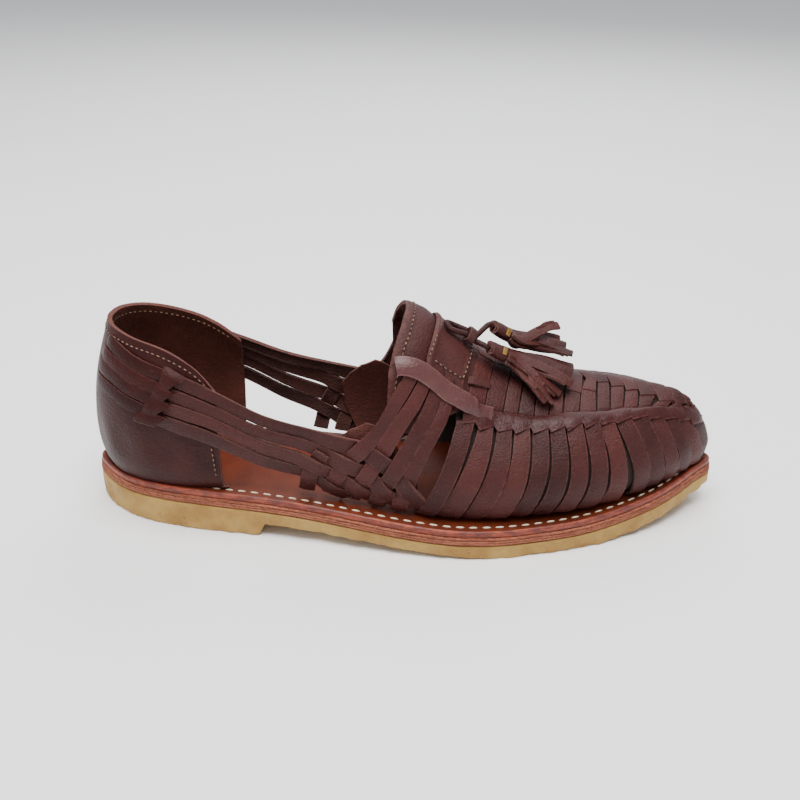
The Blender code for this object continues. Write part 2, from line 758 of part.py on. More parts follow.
for side_name, side in SIDES:
    wall(f"side_lining_{side_name}", grid(LINING_COLUMNS, len(LINING_ROWS)),
         lambda key, side=side: lining_point(side, key, -CLEARANCE),
         lambda key, side=side: lining_point(side, key, -CLEARANCE - LINING_WALL), LINING_LEATHER)


# Tassels: a rolled head with strands cut in it, lying forward over the vamp

# Head: rear and front of its axis as station, girth and lift. Strands: station, girth and lift
# of each tip, from the inner side of the head to the outer side.
TASSELS = {
    "tassel_outer": {
        "head": ((9.72, -0.20, 0.0100), (10.40, -0.12, 0.0088)),
        "strands": (
            (12.02, 0.02, 0.0086), (11.98, -0.14, 0.0078), (11.88, -0.28, 0.0060),
            (11.96, -0.40, 0.0082), (11.72, -0.52, 0.0058), (11.56, -0.68, 0.0062),
            (11.22, -0.50, 0.0094),
        ),
    },
    "tassel_inner": {
        "head": ((9.68, 0.16, 0.0140), (10.32, 0.24, 0.0136)),
        "strands": (
            (11.98, 0.14, 0.0136), (11.84, 0.26, 0.0152), (11.94, 0.36, 0.0116),
            (11.76, 0.46, 0.0168), (11.64, 0.34, 0.0246), (11.86, 0.56, 0.0126),
        ),
    },
}
HEAD_SIDES = 10
HEAD_WIDEN = 1.15
HEAD_FLATTEN = 0.80
# Sections of a head: share along it, share of its radius.
HEAD_PROFILE = ((0.0, 0.80), (0.12, 1.0), (1.0, 0.92))
STRAND_ROOT = 0.72
STRAND_SPREAD = 0.80
STRAND_LEVEL = 0.28
STRAND_ARCH = 0.0012


def tassel_frame(start, end):
    """Rear point, axis, side and up directions of a head."""
    rear = on_last(*start)
    axis = on_last(*end) - rear
    axis /= np.linalg.norm(axis)
    side = np.cross(axis, (0.0, 0.0, 1.0))
    side /= np.linalg.norm(side)
    return rear, axis, side, np.cross(side, axis)


def tassel_head(name, rear, axis, side, up):
    sections = []
    for along, size in HEAD_PROFILE:
        centre = rear + axis * TASSEL_HEAD_LENGTH * along
        radius = TASSEL_HEAD_RADIUS * size
        turns = [2 * math.pi * k / HEAD_SIDES for k in range(HEAD_SIDES)]
        sections.append([centre + radius * (HEAD_WIDEN * math.cos(a) * side + HEAD_FLATTEN * math.sin(a) * up)
                         for a in turns])
    return loft(name, sections, BROWN_LEATHER)


def tassel_strand(name, root, tip, up):
    middle = (root + tip) / 2 + up * STRAND_ARCH
    path = [root, (root + middle) / 2 + up * STRAND_ARCH / 2, middle, tip]
    sections = []
    for k, centre in enumerate(path):
        along = path[min(k + 1, 3)] - path[max(k - 1, 0)]
        along /= np.linalg.norm(along)
        across = np.cross(along, up)
        across *= STRAND_WIDTH / 2 / np.linalg.norm(across)
        thick = np.cross(across, along)
        thick *= STRAND_THICKNESS / 2 / np.linalg.norm(thick)
        sections.append([centre - across - thick, centre + across - thick,
                         centre + across + thick, centre - across + thick])
    return loft(name, sections, BROWN_LEATHER)


for tassel_name, shape in TASSELS.items():
    rear, axis, side, up = tassel_frame(*shape["head"])
    head = tassel_head(tassel_name, rear, axis, side, up)
    strands = []
    count = len(shape["strands"])
    for k, tip in enumerate(shape["strands"]):
        spread = TASSEL_HEAD_RADIUS * STRAND_SPREAD * (1 - 2 * k / (count - 1))
        level = TASSEL_HEAD_RADIUS * STRAND_LEVEL * (1 if k % 2 else -1) + LAYER_STEP * k
        root = rear + axis * TASSEL_HEAD_LENGTH * STRAND_ROOT - side * spread + up * level
        strands.append(tassel_strand(f"{tassel_name}_strand_{k}", root, on_last(*tip), up))
    fuse(head, strands)


# Thong: from one tassel through the knot band, round a loop on the patch, and back to the other

KNOT_STATION = 9.34
LOOP_GIRTH = -0.115
LOOP_STATION = 9.00
LOOP_END = 8.84
KNOT_LENGTH = 0.0038
KNOT_WALL = 0.0012
KNOT_SIDES = 12
LACE_SPACING = 0.0032
LOOP_SPACING = 0.0044
LACE_LEAD = 0.0030
LACE_GAP = 0.0008
KNOT_LIFT = PATCH_TOP + THONG_DIAMETER / 2 + LACE_GAP + KNOT_WALL + CLEARANCE


def knot_frame():
    """Centre, forward, side and up directions of the knot band."""
    ahead = on_last(KNOT_STATION + 0.1, LOOP_GIRTH, 0.0) - on_last(KNOT_STATION - 0.1, LOOP_GIRTH, 0.0)
    ahead /= np.linalg.norm(ahead)
    up = last_normal(KNOT_STATION, LOOP_GIRTH)
    return on_last(KNOT_STATION, LOOP_GIRTH, KNOT_LIFT), ahead, np.cross(ahead, up), up


def thong_route():
    lift = PATCH_TOP + THONG_DIAMETER / 2 + 2 * CLEARANCE
    centre, ahead, side, _ = knot_frame()
    hole = on_last(LOOP_STATION, LOOP_GIRTH, lift)
    bend = on_last(LOOP_END, LOOP_GIRTH, lift)
    halves = []
    for name, sign in (("tassel_outer", 1), ("tassel_inner", -1)):
        rear, axis, _, _ = tassel_frame(*TASSELS[name]["head"])
        lace = centre + sign * side * LACE_SPACING / 2
        straight = [lace + ahead * (KNOT_LENGTH / 2 + step) for step in (LACE_GAP, 0.0)]
        straight += [lace - ahead * (KNOT_LENGTH / 2 + step) for step in (0.0, LACE_GAP)]
        halves.append([rear - axis * LACE_GAP, rear - axis * LACE_LEAD, *straight,
                       hole + sign * side * LOOP_SPACING / 2])
    return halves[0] + [bend] + halves[1][::-1]


def knot_point(key, depth):
    """Point on the band round the two laces, at a depth of wall outside its bore."""
    centre, ahead, side, up = knot_frame()
    turn = 2 * math.pi * key[0] / KNOT_SIDES
    high = THONG_DIAMETER / 2 + LACE_GAP + depth
    wide = high + LACE_SPACING / 2
    place = (key[1] - 0.5) * KNOT_LENGTH
    return centre + ahead * place + side * wide * math.cos(turn) + up * high * math.sin(turn)


knot_quads = [((c, 0), ((c + 1) % KNOT_SIDES, 0), ((c + 1) % KNOT_SIDES, 1), (c, 1))
              for c in range(KNOT_SIDES)]
wall("thong_knot", knot_quads, lambda key: knot_point(key, KNOT_WALL), lambda key: knot_point(key, 0.0),
     BROWN_LEATHER)


def tube(name, route, diameter, parts, finish):
    points = thicken_path(route, parts)
    curve = bpy.data.curves.new(name, 'CURVE')
    curve.dimensions = '3D'
    curve.bevel_depth = diameter / 2
    curve.bevel_resolution = 2
    curve.use_fill_caps = True
    spline = curve.splines.new('POLY')
    spline.points.add(len(points) - 1)
    for point, place in zip(spline.points, points):
        point.co = (*from_heel_rest(place), 1.0)
    curve.materials.append(finish)
    made = bpy.data.objects.new(name, curve)
    shoe.objects.link(made)
    return made


tube("tassel_thong", thong_route(), THONG_DIAMETER, 3, BROWN_LEATHER)
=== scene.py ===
"""Woven leather sandal for the right foot, dressed for a studio picture.

Metres, +Z up, +X to the toe, -Y is the outer side of the foot.
"""
import math

import bmesh
import bpy
import numpy as np
from mathutils import Matrix, Vector, noise


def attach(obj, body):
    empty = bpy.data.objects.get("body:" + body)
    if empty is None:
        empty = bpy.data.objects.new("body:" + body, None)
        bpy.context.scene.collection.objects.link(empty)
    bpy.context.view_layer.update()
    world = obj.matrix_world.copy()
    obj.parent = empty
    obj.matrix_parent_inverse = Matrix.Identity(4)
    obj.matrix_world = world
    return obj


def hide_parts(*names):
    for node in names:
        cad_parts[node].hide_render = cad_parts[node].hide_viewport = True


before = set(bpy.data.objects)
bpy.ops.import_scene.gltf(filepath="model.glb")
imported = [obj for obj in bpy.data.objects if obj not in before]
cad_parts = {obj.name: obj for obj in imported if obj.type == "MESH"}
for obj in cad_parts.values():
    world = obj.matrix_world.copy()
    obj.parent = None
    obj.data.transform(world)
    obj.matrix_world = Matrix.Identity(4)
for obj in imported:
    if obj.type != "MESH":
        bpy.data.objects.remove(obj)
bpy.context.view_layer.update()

# Studio: a seamless pale sweep under soft light from above and both sides, and the camera a
# little above the shoe on its outer side, as a product photograph is taken.
EYE = Vector((0.11864, -0.4299, 0.2776))
LOOK = Vector((-0.0276, 0.8867, -0.4616)).normalized()
ROLL = math.radians(0.822)
level = LOOK.cross(Vector((0, 0, 1))).normalized()
upright = level.cross(LOOK)
right = math.cos(ROLL) * level + math.sin(ROLL) * upright
up = math.cos(ROLL) * upright - math.sin(ROLL) * level
lens = bpy.data.cameras.new("studio_camera")
lens.sensor_width = 36.0
lens.lens = 46.35
lens.clip_start = 0.01
lens.dof.use_dof = False
camera = bpy.data.objects.new("studio_camera", lens)
camera.matrix_world = Matrix((
    (right.x, up.x, -LOOK.x, EYE.x), (right.y, up.y, -LOOK.y, EYE.y),
    (right.z, up.z, -LOOK.z, EYE.z), (0, 0, 0, 1)))
bpy.context.scene.collection.objects.link(camera)
bpy.context.scene.camera = camera

sky = bpy.data.worlds.new("studio_sky")
sky.use_nodes = True
sky.node_tree.nodes["Background"].inputs["Color"].default_value = (0.93, 0.95, 1.0, 1.0)
sky.node_tree.nodes["Background"].inputs["Strength"].default_value = 0.52
bpy.context.scene.world = sky


def soft_light(name, place, target, size, power, color):
    lamp = bpy.data.lights.new(name, 'AREA')
    lamp.shape = 'RECTANGLE'
    lamp.size, lamp.size_y = size
    lamp.energy = power
    lamp.color = color
    holder = bpy.data.objects.new(name, lamp)
    holder.location = place
    aim = Vector(target) - Vector(place)
    holder.rotation_euler = aim.to_track_quat('-Z', 'Y').to_euler()
    bpy.context.scene.collection.objects.link(holder)


soft_light("key_light", (0.05, -0.25, 1.30), (0.11, 0.0, 0.04), (1.0, 0.8), 33.0, (1.0, 0.98, 0.96))
soft_light("back_light", (0.30, 1.0, 0.95), (0.11, 0.0, 0.05), (1.2, 0.7), 10.0, (0.95, 0.97, 1.0))
soft_light("left_light", (-0.95, -0.35, 0.65), (0.06, 0.0, 0.05), (0.7, 0.9), 1.5, (1.0, 0.98, 0.95))

ground = bmesh.new()
bmesh.ops.create_grid(ground, x_segments=2, y_segments=2, size=7.0)
floor_mesh = bpy.data.meshes.new("studio_floor")
ground.to_mesh(floor_mesh)
ground.free()
floor = bpy.data.objects.new("studio_floor", floor_mesh)
bpy.context.scene.collection.objects.link(floor)
paper = bpy.data.materials.new("studio_paper")
paper.use_nodes = True
paper.node_tree.nodes["Principled BSDF"].inputs["Base Color"].default_value = (0.94, 0.94, 0.94, 1.0)
paper.node_tree.nodes["Principled BSDF"].inputs["Roughness"].default_value = 0.95
paper.node_tree.nodes["Principled BSDF"].inputs["Specular IOR Level"].default_value = 0.1
floor_mesh.materials.append(paper)


# Crepe outsole: a slab of natural crepe rubber, cut out by hand, with a low heel and a breast.
# It is milky and yellow, smooth on its sides and torn and pitted along its lower edge.
SOLE_LENGTH = 0.296
SOLE_WIDTH = 0.0975
HEEL_SEAT = 0.021
HEEL_LENGTH = 0.082
HEEL_REST = 0.135 * SOLE_LENGTH
# Edge of the sole from heel to toe: x as a share of the length, outer and inner as shares of the width.
SOLE_ROWS = (
    (0.000, 0.000, 0.000), (0.020, 0.111, 0.113), (0.064, 0.232, 0.231), (0.125, 0.304, 0.303),
    (0.203, 0.349, 0.328), (0.287, 0.379, 0.323), (0.365, 0.413, 0.308), (0.439, 0.456, 0.318),
    (0.514, 0.495, 0.359), (0.581, 0.513, 0.410), (0.649, 0.496, 0.456), (0.716, 0.449, 0.482),
    (0.784, 0.385, 0.477), (0.851, 0.292, 0.431), (0.912, 0.179, 0.354), (0.966, 0.031, 0.231),
    (1.000, -0.082, 0.082),
)
# Top of the platform: share of the length, share of the heel seat's height.
TOP_LINE = ((0.00, 1.000), (0.12, 1.000), (0.22, 0.995), (0.32, 0.940), (0.42, 0.840), (0.52, 0.730),
            (0.61, 0.670), (0.70, 0.665), (0.78, 0.700), (0.86, 0.820), (0.93, 0.970), (1.00, 1.150))
TOE = len(SOLE_ROWS) - 1
TURN = 2 * TOE


def curve_at(rows, place, closed):
    """Smooth curve through evenly numbered rows, for an array of places."""
    rows = np.asarray(rows, float)
    place = np.atleast_1d(np.asarray(place, float))
    count = len(rows)
    start = np.floor(place).astype(int)
    share = (place - start)[:, None]
    picks = []
    for step in (-1, 0, 1, 2):
        index = start + step
        index = index % count if closed else np.clip(index, 0, count - 1)
        picks.append(rows[index])
    before, left, after, beyond = picks
    return 0.5 * (2 * left + (after - before) * share
                  + (2 * before - 5 * left + 4 * after - beyond) * share ** 2
                  + (3 * left - before - 3 * after + beyond) * share ** 3)


def platform_top(x):
    places = np.array([row[0] for row in TOP_LINE])
    heights = np.array([row[1] for row in TOP_LINE])
    slopes = np.gradient(heights, places)
    x = np.atleast_1d(x) / SOLE_LENGTH
    k = np.clip(np.searchsorted(places, x) - 1, 0, len(places) - 2)
    span = places[k + 1] - places[k]
    f = (x - places[k]) / span
    rise = ((2 * f ** 3 - 3 * f ** 2 + 1) * heights[k] + (f ** 3 - 2 * f ** 2 + f) * span * slopes[k]
            + (3 * f ** 2 - 2 * f ** 3) * heights[k + 1] + (f ** 3 - f ** 2) * span * slopes[k + 1])
    return HEEL_SEAT * rise


def ring_of(outer_rows, inner_rows):
    return np.concatenate([outer_rows, inner_rows[-2:0:-1]])


def outward(rows, place):
    slope = curve_at(rows, place + 0.02, True) - curve_at(rows, place - 0.02, True)
    size = np.hypot(slope[:, 0], slope[:, 1])
    return np.stack([slope[:, 1] / size, -slope[:, 0] / size], 1)


sole_x, sole_outer, sole_inner = np.array(SOLE_ROWS).T
SOLE_RING = ring_of(np.stack([SOLE_LENGTH * sole_x, -SOLE_WIDTH * sole_outer], 1),
                    np.stack([SOLE_LENGTH * sole_x, SOLE_WIDTH * sole_inner], 1))


def ground_line(x):
    """Underside of the crepe: flat heel, breast, arched waist, flat ball and toe spring."""
    start, end = 0.64 * SOLE_LENGTH, 0.79 * SOLE_LENGTH
    waist = 0.0062 * (1 - np.clip((x - HEEL_LENGTH) / (start - HEEL_LENGTH), 0, 1) ** 1.6) ** 1.3
    spring = 0.0105 * np.clip((x - end) / (SOLE_LENGTH - end), 0, 1) ** 1.6
    breast = np.clip((x - HEEL_LENGTH) / 0.0025, 0, 1)
    return np.where(x < start, waist * breast, spring)


SOLE_PLACES = 640
TORN_HEIGHT = 0.005


def sole_band(rings, rough, cap_top):
    """Side of one layer of the sole: a circle drawn out ring by ring, closed above and below.

    A ring is a margin outside the edge and a height for each x."""
    shape = bmesh.new()
    bmesh.ops.create_circle(shape, cap_ends=False, segments=SOLE_PLACES, radius=1.0)
    shape.verts.ensure_lookup_table()
    place = np.linspace(0, TURN, SOLE_PLACES, endpoint=False)
    flat = curve_at(SOLE_RING, place, True)
    out = outward(SOLE_RING, place)
    current = list(shape.verts)
    loops = [current]
    for _ in rings[1:]:
        held = set(current)
        edges = dict.fromkeys(edge for vert in current for edge in vert.link_edges
                              if edge.verts[0] in held and edge.verts[1] in held)
        drawn = bmesh.ops.extrude_edge_only(shape, edges=list(edges))["geom"]
        new = [item for item in drawn if isinstance(item, bmesh.types.BMVert)]
        before = {tuple(round(c, 6) for c in vert.co): k for k, vert in enumerate(current)}
        ordered = sorted(new, key=lambda vert: before[tuple(round(c, 6) for c in vert.co)])
        for vert in ordered:
            vert.co.z -= 1.0
        current = ordered
        loops.append(current)
    for loop, (margin, height) in zip(loops, rings):
        x = flat[:, 0] + margin * out[:, 0]
        y = flat[:, 1] + margin * out[:, 1]
        z = height(flat[:, 0])
        for k, vert in enumerate(loop):
            spot = Vector((x[k], y[k], z[k]))
            if rough:
                low = 1.0 - min(1.0, max(0.0, (z[k] - ground_line(flat[k:k + 1, 0])[0]) / TORN_HEIGHT))
                push = rough * (0.25 + low) * noise.noise(spot * 260)
                push += 0.5 * rough * low * noise.noise(spot * 700)
                spot.x += push * out[k, 0]
                spot.y += push * out[k, 1]
                if 0.0 < low:
                    spot.z += 0.4 * rough * low * abs(noise.noise(spot * 420))
            vert.co = spot
    if cap_top:
        bmesh.ops.contextual_create(shape, geom=loops[0])
    bmesh.ops.contextual_create(shape, geom=loops[-1])
    caps = [face for face in shape.faces if len(face.verts) > 4]
    bmesh.ops.triangulate(shape, faces=caps)
    bmesh.ops.recalc_face_normals(shape, faces=shape.faces)
    return shape


def make_piece(name, shape, finishes, smooth=True):
    """Mesh object at the origin that rides on the shoe, measured from the back of the heel."""
    mesh = bpy.data.meshes.new(name)
    bmesh.ops.translate(shape, verts=shape.verts, vec=(-HEEL_REST, 0, 0))
    for face in shape.faces:
        face.smooth = smooth
    shape.to_mesh(mesh)
    shape.free()
    for finish in finishes:
        mesh.materials.append(finish)
    piece = bpy.data.objects.new(name, mesh)
    bpy.context.scene.collection.objects.link(piece)
    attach(piece, "root")
    return piece


class Value:
    """A shader value that adds, multiplies and compares like a number."""
    tree = None

    def __init__(self, socket):
        self.socket = socket

    @classmethod
    def feed(cls, socket, value):
        if isinstance(value, Value):
            cls.tree.links.new(value.socket, socket)
        else:
            socket.default_value = value

    @classmethod
    def math(cls, kind, *values):
        node = cls.tree.nodes.new("ShaderNodeMath")
        node.operation = kind
        for socket, value in zip(node.inputs, values):
            cls.feed(socket, value)
        return cls(node.outputs[0])

    def __add__(self, other):
        return self.math("ADD", self, other)

    __radd__ = __add__

    def __sub__(self, other):
        return self.math("SUBTRACT", self, other)

    def __rsub__(self, other):
        return self.math("SUBTRACT", other, self)

    def __mul__(self, other):
        return self.math("MULTIPLY", self, other)

    __rmul__ = __mul__

    def band(self, low, high):
        """0 below low, 1 above high, smooth between."""
        node = self.tree.nodes.new("ShaderNodeMapRange")
        node.interpolation_type = 'SMOOTHSTEP'
        self.feed(node.inputs["Value"], self)
        node.inputs["From Min"].default_value = low
        node.inputs["From Max"].default_value = high
        return Value(node.outputs["Result"])


def place_on(stretch):
    spot = Value.tree.nodes.new("ShaderNodeTexCoord")
    mapping = Value.tree.nodes.new("ShaderNodeMapping")
    mapping.inputs["Scale"].default_value = stretch
    Value.tree.links.new(spot.outputs["Object"], mapping.inputs["Vector"])
    return mapping.outputs["Vector"]


def cloud(size, detail=3.0, rough=0.55, twist=0.0, stretch=(1, 1, 1)):
    """Noise with lumps of about size metres."""
    node = Value.tree.nodes.new("ShaderNodeTexNoise")
    Value.tree.links.new(place_on(stretch), node.inputs["Vector"])
    node.inputs["Scale"].default_value = 1.0 / size
    node.inputs["Detail"].default_value = detail
    node.inputs["Roughness"].default_value = rough
    node.inputs["Distortion"].default_value = twist
    return Value(node.outputs["Fac"])


def cells(size):
    node = Value.tree.nodes.new("ShaderNodeTexVoronoi")
    Value.tree.links.new(place_on((1, 1, 1)), node.inputs["Vector"])
    node.inputs["Scale"].default_value = 1.0 / size
    return Value(node.outputs["Distance"])


def trait(name):
    node = Value.tree.nodes.new("ShaderNodeAttribute")
    node.attribute_name = name
    return Value(node.outputs["Fac"])


def shade(code):
    """Colour as the eye sees it, 0 to 255, made linear."""
    return [(c / 255 / 12.92) if c <= 10 else ((c / 255 + 0.055) / 1.055) ** 2.4 for c in code] + [1.0]


def tint(share, first, second):
    node = Value.tree.nodes.new("ShaderNodeMix")
    node.data_type = 'RGBA'
    Value.feed(node.inputs[0], share)
    for socket, color in ((node.inputs[6], first), (node.inputs[7], second)):
        Value.feed(socket, color)
    return Value(node.outputs[2])


def new_material(name):
    made = bpy.data.materials.new(name)
    made.use_nodes = True
    Value.tree = made.node_tree
    return made, made.node_tree.nodes["Principled BSDF"]


def paint(shader, color, roughness):
    Value.feed(shader.inputs["Base Color"], color)
    Value.feed(shader.inputs["Roughness"], roughness)


def mottled(name, size, first, second, roughness):
    """Plain material of two colours in lumps of about size metres."""
    made, shader = new_material(name)
    paint(shader, tint(cloud(size).band(0.3, 0.7), shade(first), shade(second)), roughness)
    return made, shader


def bump(shader, height, depth, strength=1.0):
    node = Value.tree.nodes.new("ShaderNodeBump")
    node.inputs["Distance"].default_value = depth
    node.inputs["Strength"].default_value = strength
    Value.feed(node.inputs["Height"], height)
    Value.tree.links.new(node.outputs["Normal"], shader.inputs["Normal"])


crepe, shader = new_material("natural_crepe")
milky = cloud(0.018, 4.0, 0.6)
dirt = cloud(0.0035, 5.0, 0.7)
pit = cells(0.0048) + cloud(0.0016, 2.0) * 0.25
color = tint(milky.band(0.35, 0.68), shade((174, 140, 74)), shade((150, 112, 54)))
color = tint(dirt.band(0.56, 0.72) * 0.45, color, shade((124, 90, 50)))
color = tint(1.0 - pit.band(0.10, 0.24), color, shade((112, 80, 44)))
paint(shader, color, dirt * 0.25 + 0.50)
shader.inputs["Subsurface Weight"].default_value = 0.25
shader.inputs["Subsurface Radius"].default_value = (0.004, 0.0025, 0.001)
shader.inputs["Specular IOR Level"].default_value = 0.35
bump(shader, pit.band(0.05, 0.3) * 0.6 + cloud(0.0009, 4.0) * 0.5 + cloud(0.005) * 0.6, 0.0007)

PLATFORM_THICKNESS = 0.0031
MIDSOLE_TOP = PLATFORM_THICKNESS + 0.0001
MIDSOLE_BOTTOM = MIDSOLE_TOP + 0.0041
CREPE_MARGIN = 0.0007


def crepe_rings():
    rings = [(CREPE_MARGIN - 0.001, lambda x: platform_top(x) - MIDSOLE_BOTTOM)]
    for share in (0.0, 0.15, 0.3, 0.45, 0.6, 0.7, 0.8, 0.88, 0.95):
        rings.append((CREPE_MARGIN, lambda x, share=share: (platform_top(x) - MIDSOLE_BOTTOM) * (1 - share)
                      + (ground_line(x) + 0.0004) * share))
    rings.append((CREPE_MARGIN - 0.0005, lambda x: ground_line(x) + 0.0001))
    rings.append((CREPE_MARGIN - 0.0016, ground_line))
    return rings


CREPE_ROUGHNESS = 0.0006
crepe_band = sole_band(crepe_rings(), CREPE_ROUGHNESS, True)
outsole = make_piece("crepe_outsole", crepe_band, [crepe])
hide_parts("outsole")


# Midsole: a band of vegetable-tanned leather glued under the platform. Its cut edge is fuzzy and
# pinkish, with a thin pale groove near the top and fine scored lines below it.
edge_cut, shader = new_material("cut_sole_edge")
fibre = cloud(0.0016, 4.0, 0.7, 0.6, (1.0, 1.0, 5.0))
lines = cloud(0.0030, 2.0, 0.5, 0.0, (0.12, 0.12, 6.0))
color = tint(fibre.band(0.36, 0.62), shade((116, 60, 42)), shade((178, 106, 76)))
color = tint(lines.band(0.50, 0.62) * 0.6, color, shade((96, 42, 27)))
paint(shader, color, 0.85)
bump(shader, fibre + lines * 0.8, 0.0005)

MIDSOLE_MARGIN = 0.0003
MIDSOLE_PROFILE = (
    (-0.0004, 0.0), (0.0002, 0.0003), (0.0002, 0.0009), (-0.0006, 0.0012), (0.0003, 0.0016),
    (0.0004, 0.0021), (0.0001, 0.0023), (0.0004, 0.0026), (0.0005, 0.0033), (0.0001, 0.0036),
    (-0.0002, 0.0041),
)
rings = [(MIDSOLE_MARGIN + margin, lambda x, drop=drop: platform_top(x) - MIDSOLE_TOP - drop)
         for margin, drop in MIDSOLE_PROFILE]
midsole = make_piece("leather_midsole", sole_band(rings, 0.0, True), [edge_cut])
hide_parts("midsole")


# Platform: one sheet of tan leather that is insole and rim in one. The top is smooth and worn to
# orange, the edge is dyed dark red-brown and burnished, and a pale line is scored along it.
tan_painted_shade_finish, shader = new_material("tan_insole_painted_shade")
flesh = cloud(0.03, 5.0, 0.6)
pores = cells(0.0007) * 0.6 + cloud(0.0006, 3.0) * 0.8
smudge = cloud(0.009, 5.0, 0.65, 0.8)
# Both colours are darker than the tan leather itself: painted shade for the shadow the upper casts, laid over
# the whole top.
color = tint(flesh.band(0.35, 0.7), shade((76, 28, 11)), shade((103, 42, 18)))
color = tint(smudge.band(0.52, 0.72) * 0.35, color, shade((58, 21, 10)))
paint(shader, color, flesh * 0.25 + 0.38)
shader.inputs["Specular IOR Level"].default_value = 0.30
bump(shader, pores, 0.00018, 0.7)

dyed, shader = new_material("dyed_platform_edge")
wear = cloud(0.006, 5.0, 0.65, 0.4, (1.0, 1.0, 2.4))
streak = cloud(0.0022, 3.0, 0.6, 0.0, (0.2, 0.2, 4.0))
color = tint(wear.band(0.40, 0.66), shade((98, 34, 22)), shade((150, 64, 36)))
color = tint(streak.band(0.52, 0.68) * 0.7, color, shade((74, 24, 17)))
paint(shader, color, wear * 0.3 + 0.32)
bump(shader, wear * 0.5 + streak, 0.0003)

rings = [(margin, lambda x, drop=drop: platform_top(x) - drop) for margin, drop in (
    (-0.0012, 0.0), (-0.0005, 0.0001), (-0.0001, 0.0005), (0.0, 0.0010), (0.0, 0.0024), (-0.0003, 0.0031))]
rim = make_piece("platform_edge", sole_band(rings, 0.0, False), [dyed])
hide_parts("platform")

STITCH_INSET = 0.0040
STITCH_GROOVE = 0.00035
SHEET_INSET = 0.0012


def hump(value, middle, reach):
    """1 at the middle, falling away smoothly on both sides."""
    return np.exp(-((value - middle) / reach) ** 2)


def platform_sheet():
    """Top of the platform: a grid with its long edges laid along the sole's outline."""
    shape = bmesh.new()
    grid = bmesh.ops.create_grid(shape, x_segments=300, y_segments=40, size=1.0)["verts"]
    share = np.array([(vert.co.x + 1) / 2 for vert in grid])
    across = np.array([(vert.co.y + 1) / 2 for vert in grid])
    outer_place = share * TOE
    outer = curve_at(SOLE_RING, outer_place, True) - SHEET_INSET * outward(SOLE_RING, outer_place)
    inner_place = TURN - outer_place
    inner = curve_at(SOLE_RING, inner_place, True) - SHEET_INSET * outward(SOLE_RING, inner_place)
    flat = outer * (1 - across)[:, None] + inner * across[:, None]
    high = platform_top(flat[:, 0])
    to_outer = np.linalg.norm(flat - outer, axis=1)
    to_inner = np.linalg.norm(flat - inner, axis=1)
    to_rim = np.minimum(to_outer, to_inner) + SHEET_INSET
    high = high - STITCH_GROOVE * hump(to_rim, STITCH_INSET, 0.0006)
    for vert, (x, y), z in zip(grid, flat, high):
        vert.co = (x, y, z)
    bmesh.ops.remove_doubles(shape, verts=shape.verts, dist=1e-6)
    return shape


insole = make_piece("tan_platform", platform_sheet(), [tan_painted_shade_finish])
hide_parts("platform")


# Platform stitching: a row of thick cream waxed thread, sewn through the platform 4 mm in from
# its edge, with a dark bead of painted shade for the hole at each end of every stitch.
cream, shader = new_material("cream_thread")
twist = cloud(0.0009, 2.0, 0.5, 0.5)
paint(shader, tint(twist.band(0.3, 0.7), shade((196, 176, 146)), shade((240, 228, 206))), 0.62)
bump(shader, twist, 0.0002)
# Painted shade: the dark beads that stand for needle holes, platform slots and patch slits.
painted_shade_hollow, shader = mottled("needle_hole_painted_shade", 0.001, (22, 12, 10), (38, 20, 16), 0.95)


def bead(shape, centre, along, normal, length, width, height, segments=6):
    """Small rounded lump, for a stitch, or a dark bead of painted shade for a hole or slot."""
    made = bmesh.ops.create_uvsphere(shape, u_segments=segments, v_segments=4, radius=0.5)["verts"]
    across = np.cross(normal, along)
    turn = Matrix((along * length, across * width, normal * height)).transposed().to_4x4()
    turn.translation = Vector(centre)
    bmesh.ops.transform(shape, matrix=turn, verts=made)


def sew(name, spots, normals, pitch, share, width, thread, sink=0.0, hole=1.0):
    """Row of stitches along a line of points, with a dark bead of painted shade for the hole at each end of
    each stitch.
    """
    spots = np.asarray(spots, float)
    normals = np.asarray(normals, float)
    run = np.concatenate([[0], np.cumsum(np.linalg.norm(np.diff(spots, axis=0), axis=1))])
    count = max(1, int(round(run[-1] / pitch)))
    stitches = bmesh.new()
    shade_beads = bmesh.new()
    for k in range(count):
        middle = (k + 0.5) * run[-1] / count
        ends = [np.array([np.interp(middle + side * share * pitch / 2, run, spots[:, a]) for a in range(3)])
                for side in (-1, 1)]
        normal = np.array([np.interp(middle, run, normals[:, a]) for a in range(3)])
        normal /= np.linalg.norm(normal)
        along = ends[1] - ends[0]
        length = np.linalg.norm(along)
        along /= length
        wander = 0.06 * width * math.sin(7.3 * k)
        centre = (ends[0] + ends[1]) / 2 + normal * (width * 0.28 - sink) + np.cross(normal, along) * wander
        bead(stitches, centre, along, normal, length * 1.06, width, width * 0.9, 8)
        for end in ends:
            bead(shade_beads, end + normal * 0.00004, along, normal, width * 1.25 * hole, width * 1.15 * hole,
                 width * 0.35)
    make_piece(name, stitches, [thread])
    make_piece(name + "_hole_shades", shade_beads, [painted_shade_hollow])


STITCH_STEPS = 900
UPWARD = np.array((0.0, 0.0, 1.0))
stitch_place = np.linspace(0, TURN, STITCH_STEPS)
stitch_line = curve_at(SOLE_RING, stitch_place, True) - STITCH_INSET * outward(SOLE_RING, stitch_place)
stitch_high = platform_top(stitch_line[:, 0]) - 0.0003
sew("platform_stitches", np.column_stack([stitch_line, stitch_high]),
    np.tile(UPWARD, (STITCH_STEPS, 1)), 0.0060, 0.66, 0.0010, cream)


# Side straps and weave: four thick straps run forward from slots in the counter on each side and
# are woven with five strips, four of them down from the saddle. All are cut from waxed brown
# leather about 2 mm thick, with raw edges that show a redder, fuzzier core.
UPPER_HEIGHT = 0.083
WIDE_SHARE = 0.42
LAST_GAP = 0.0003
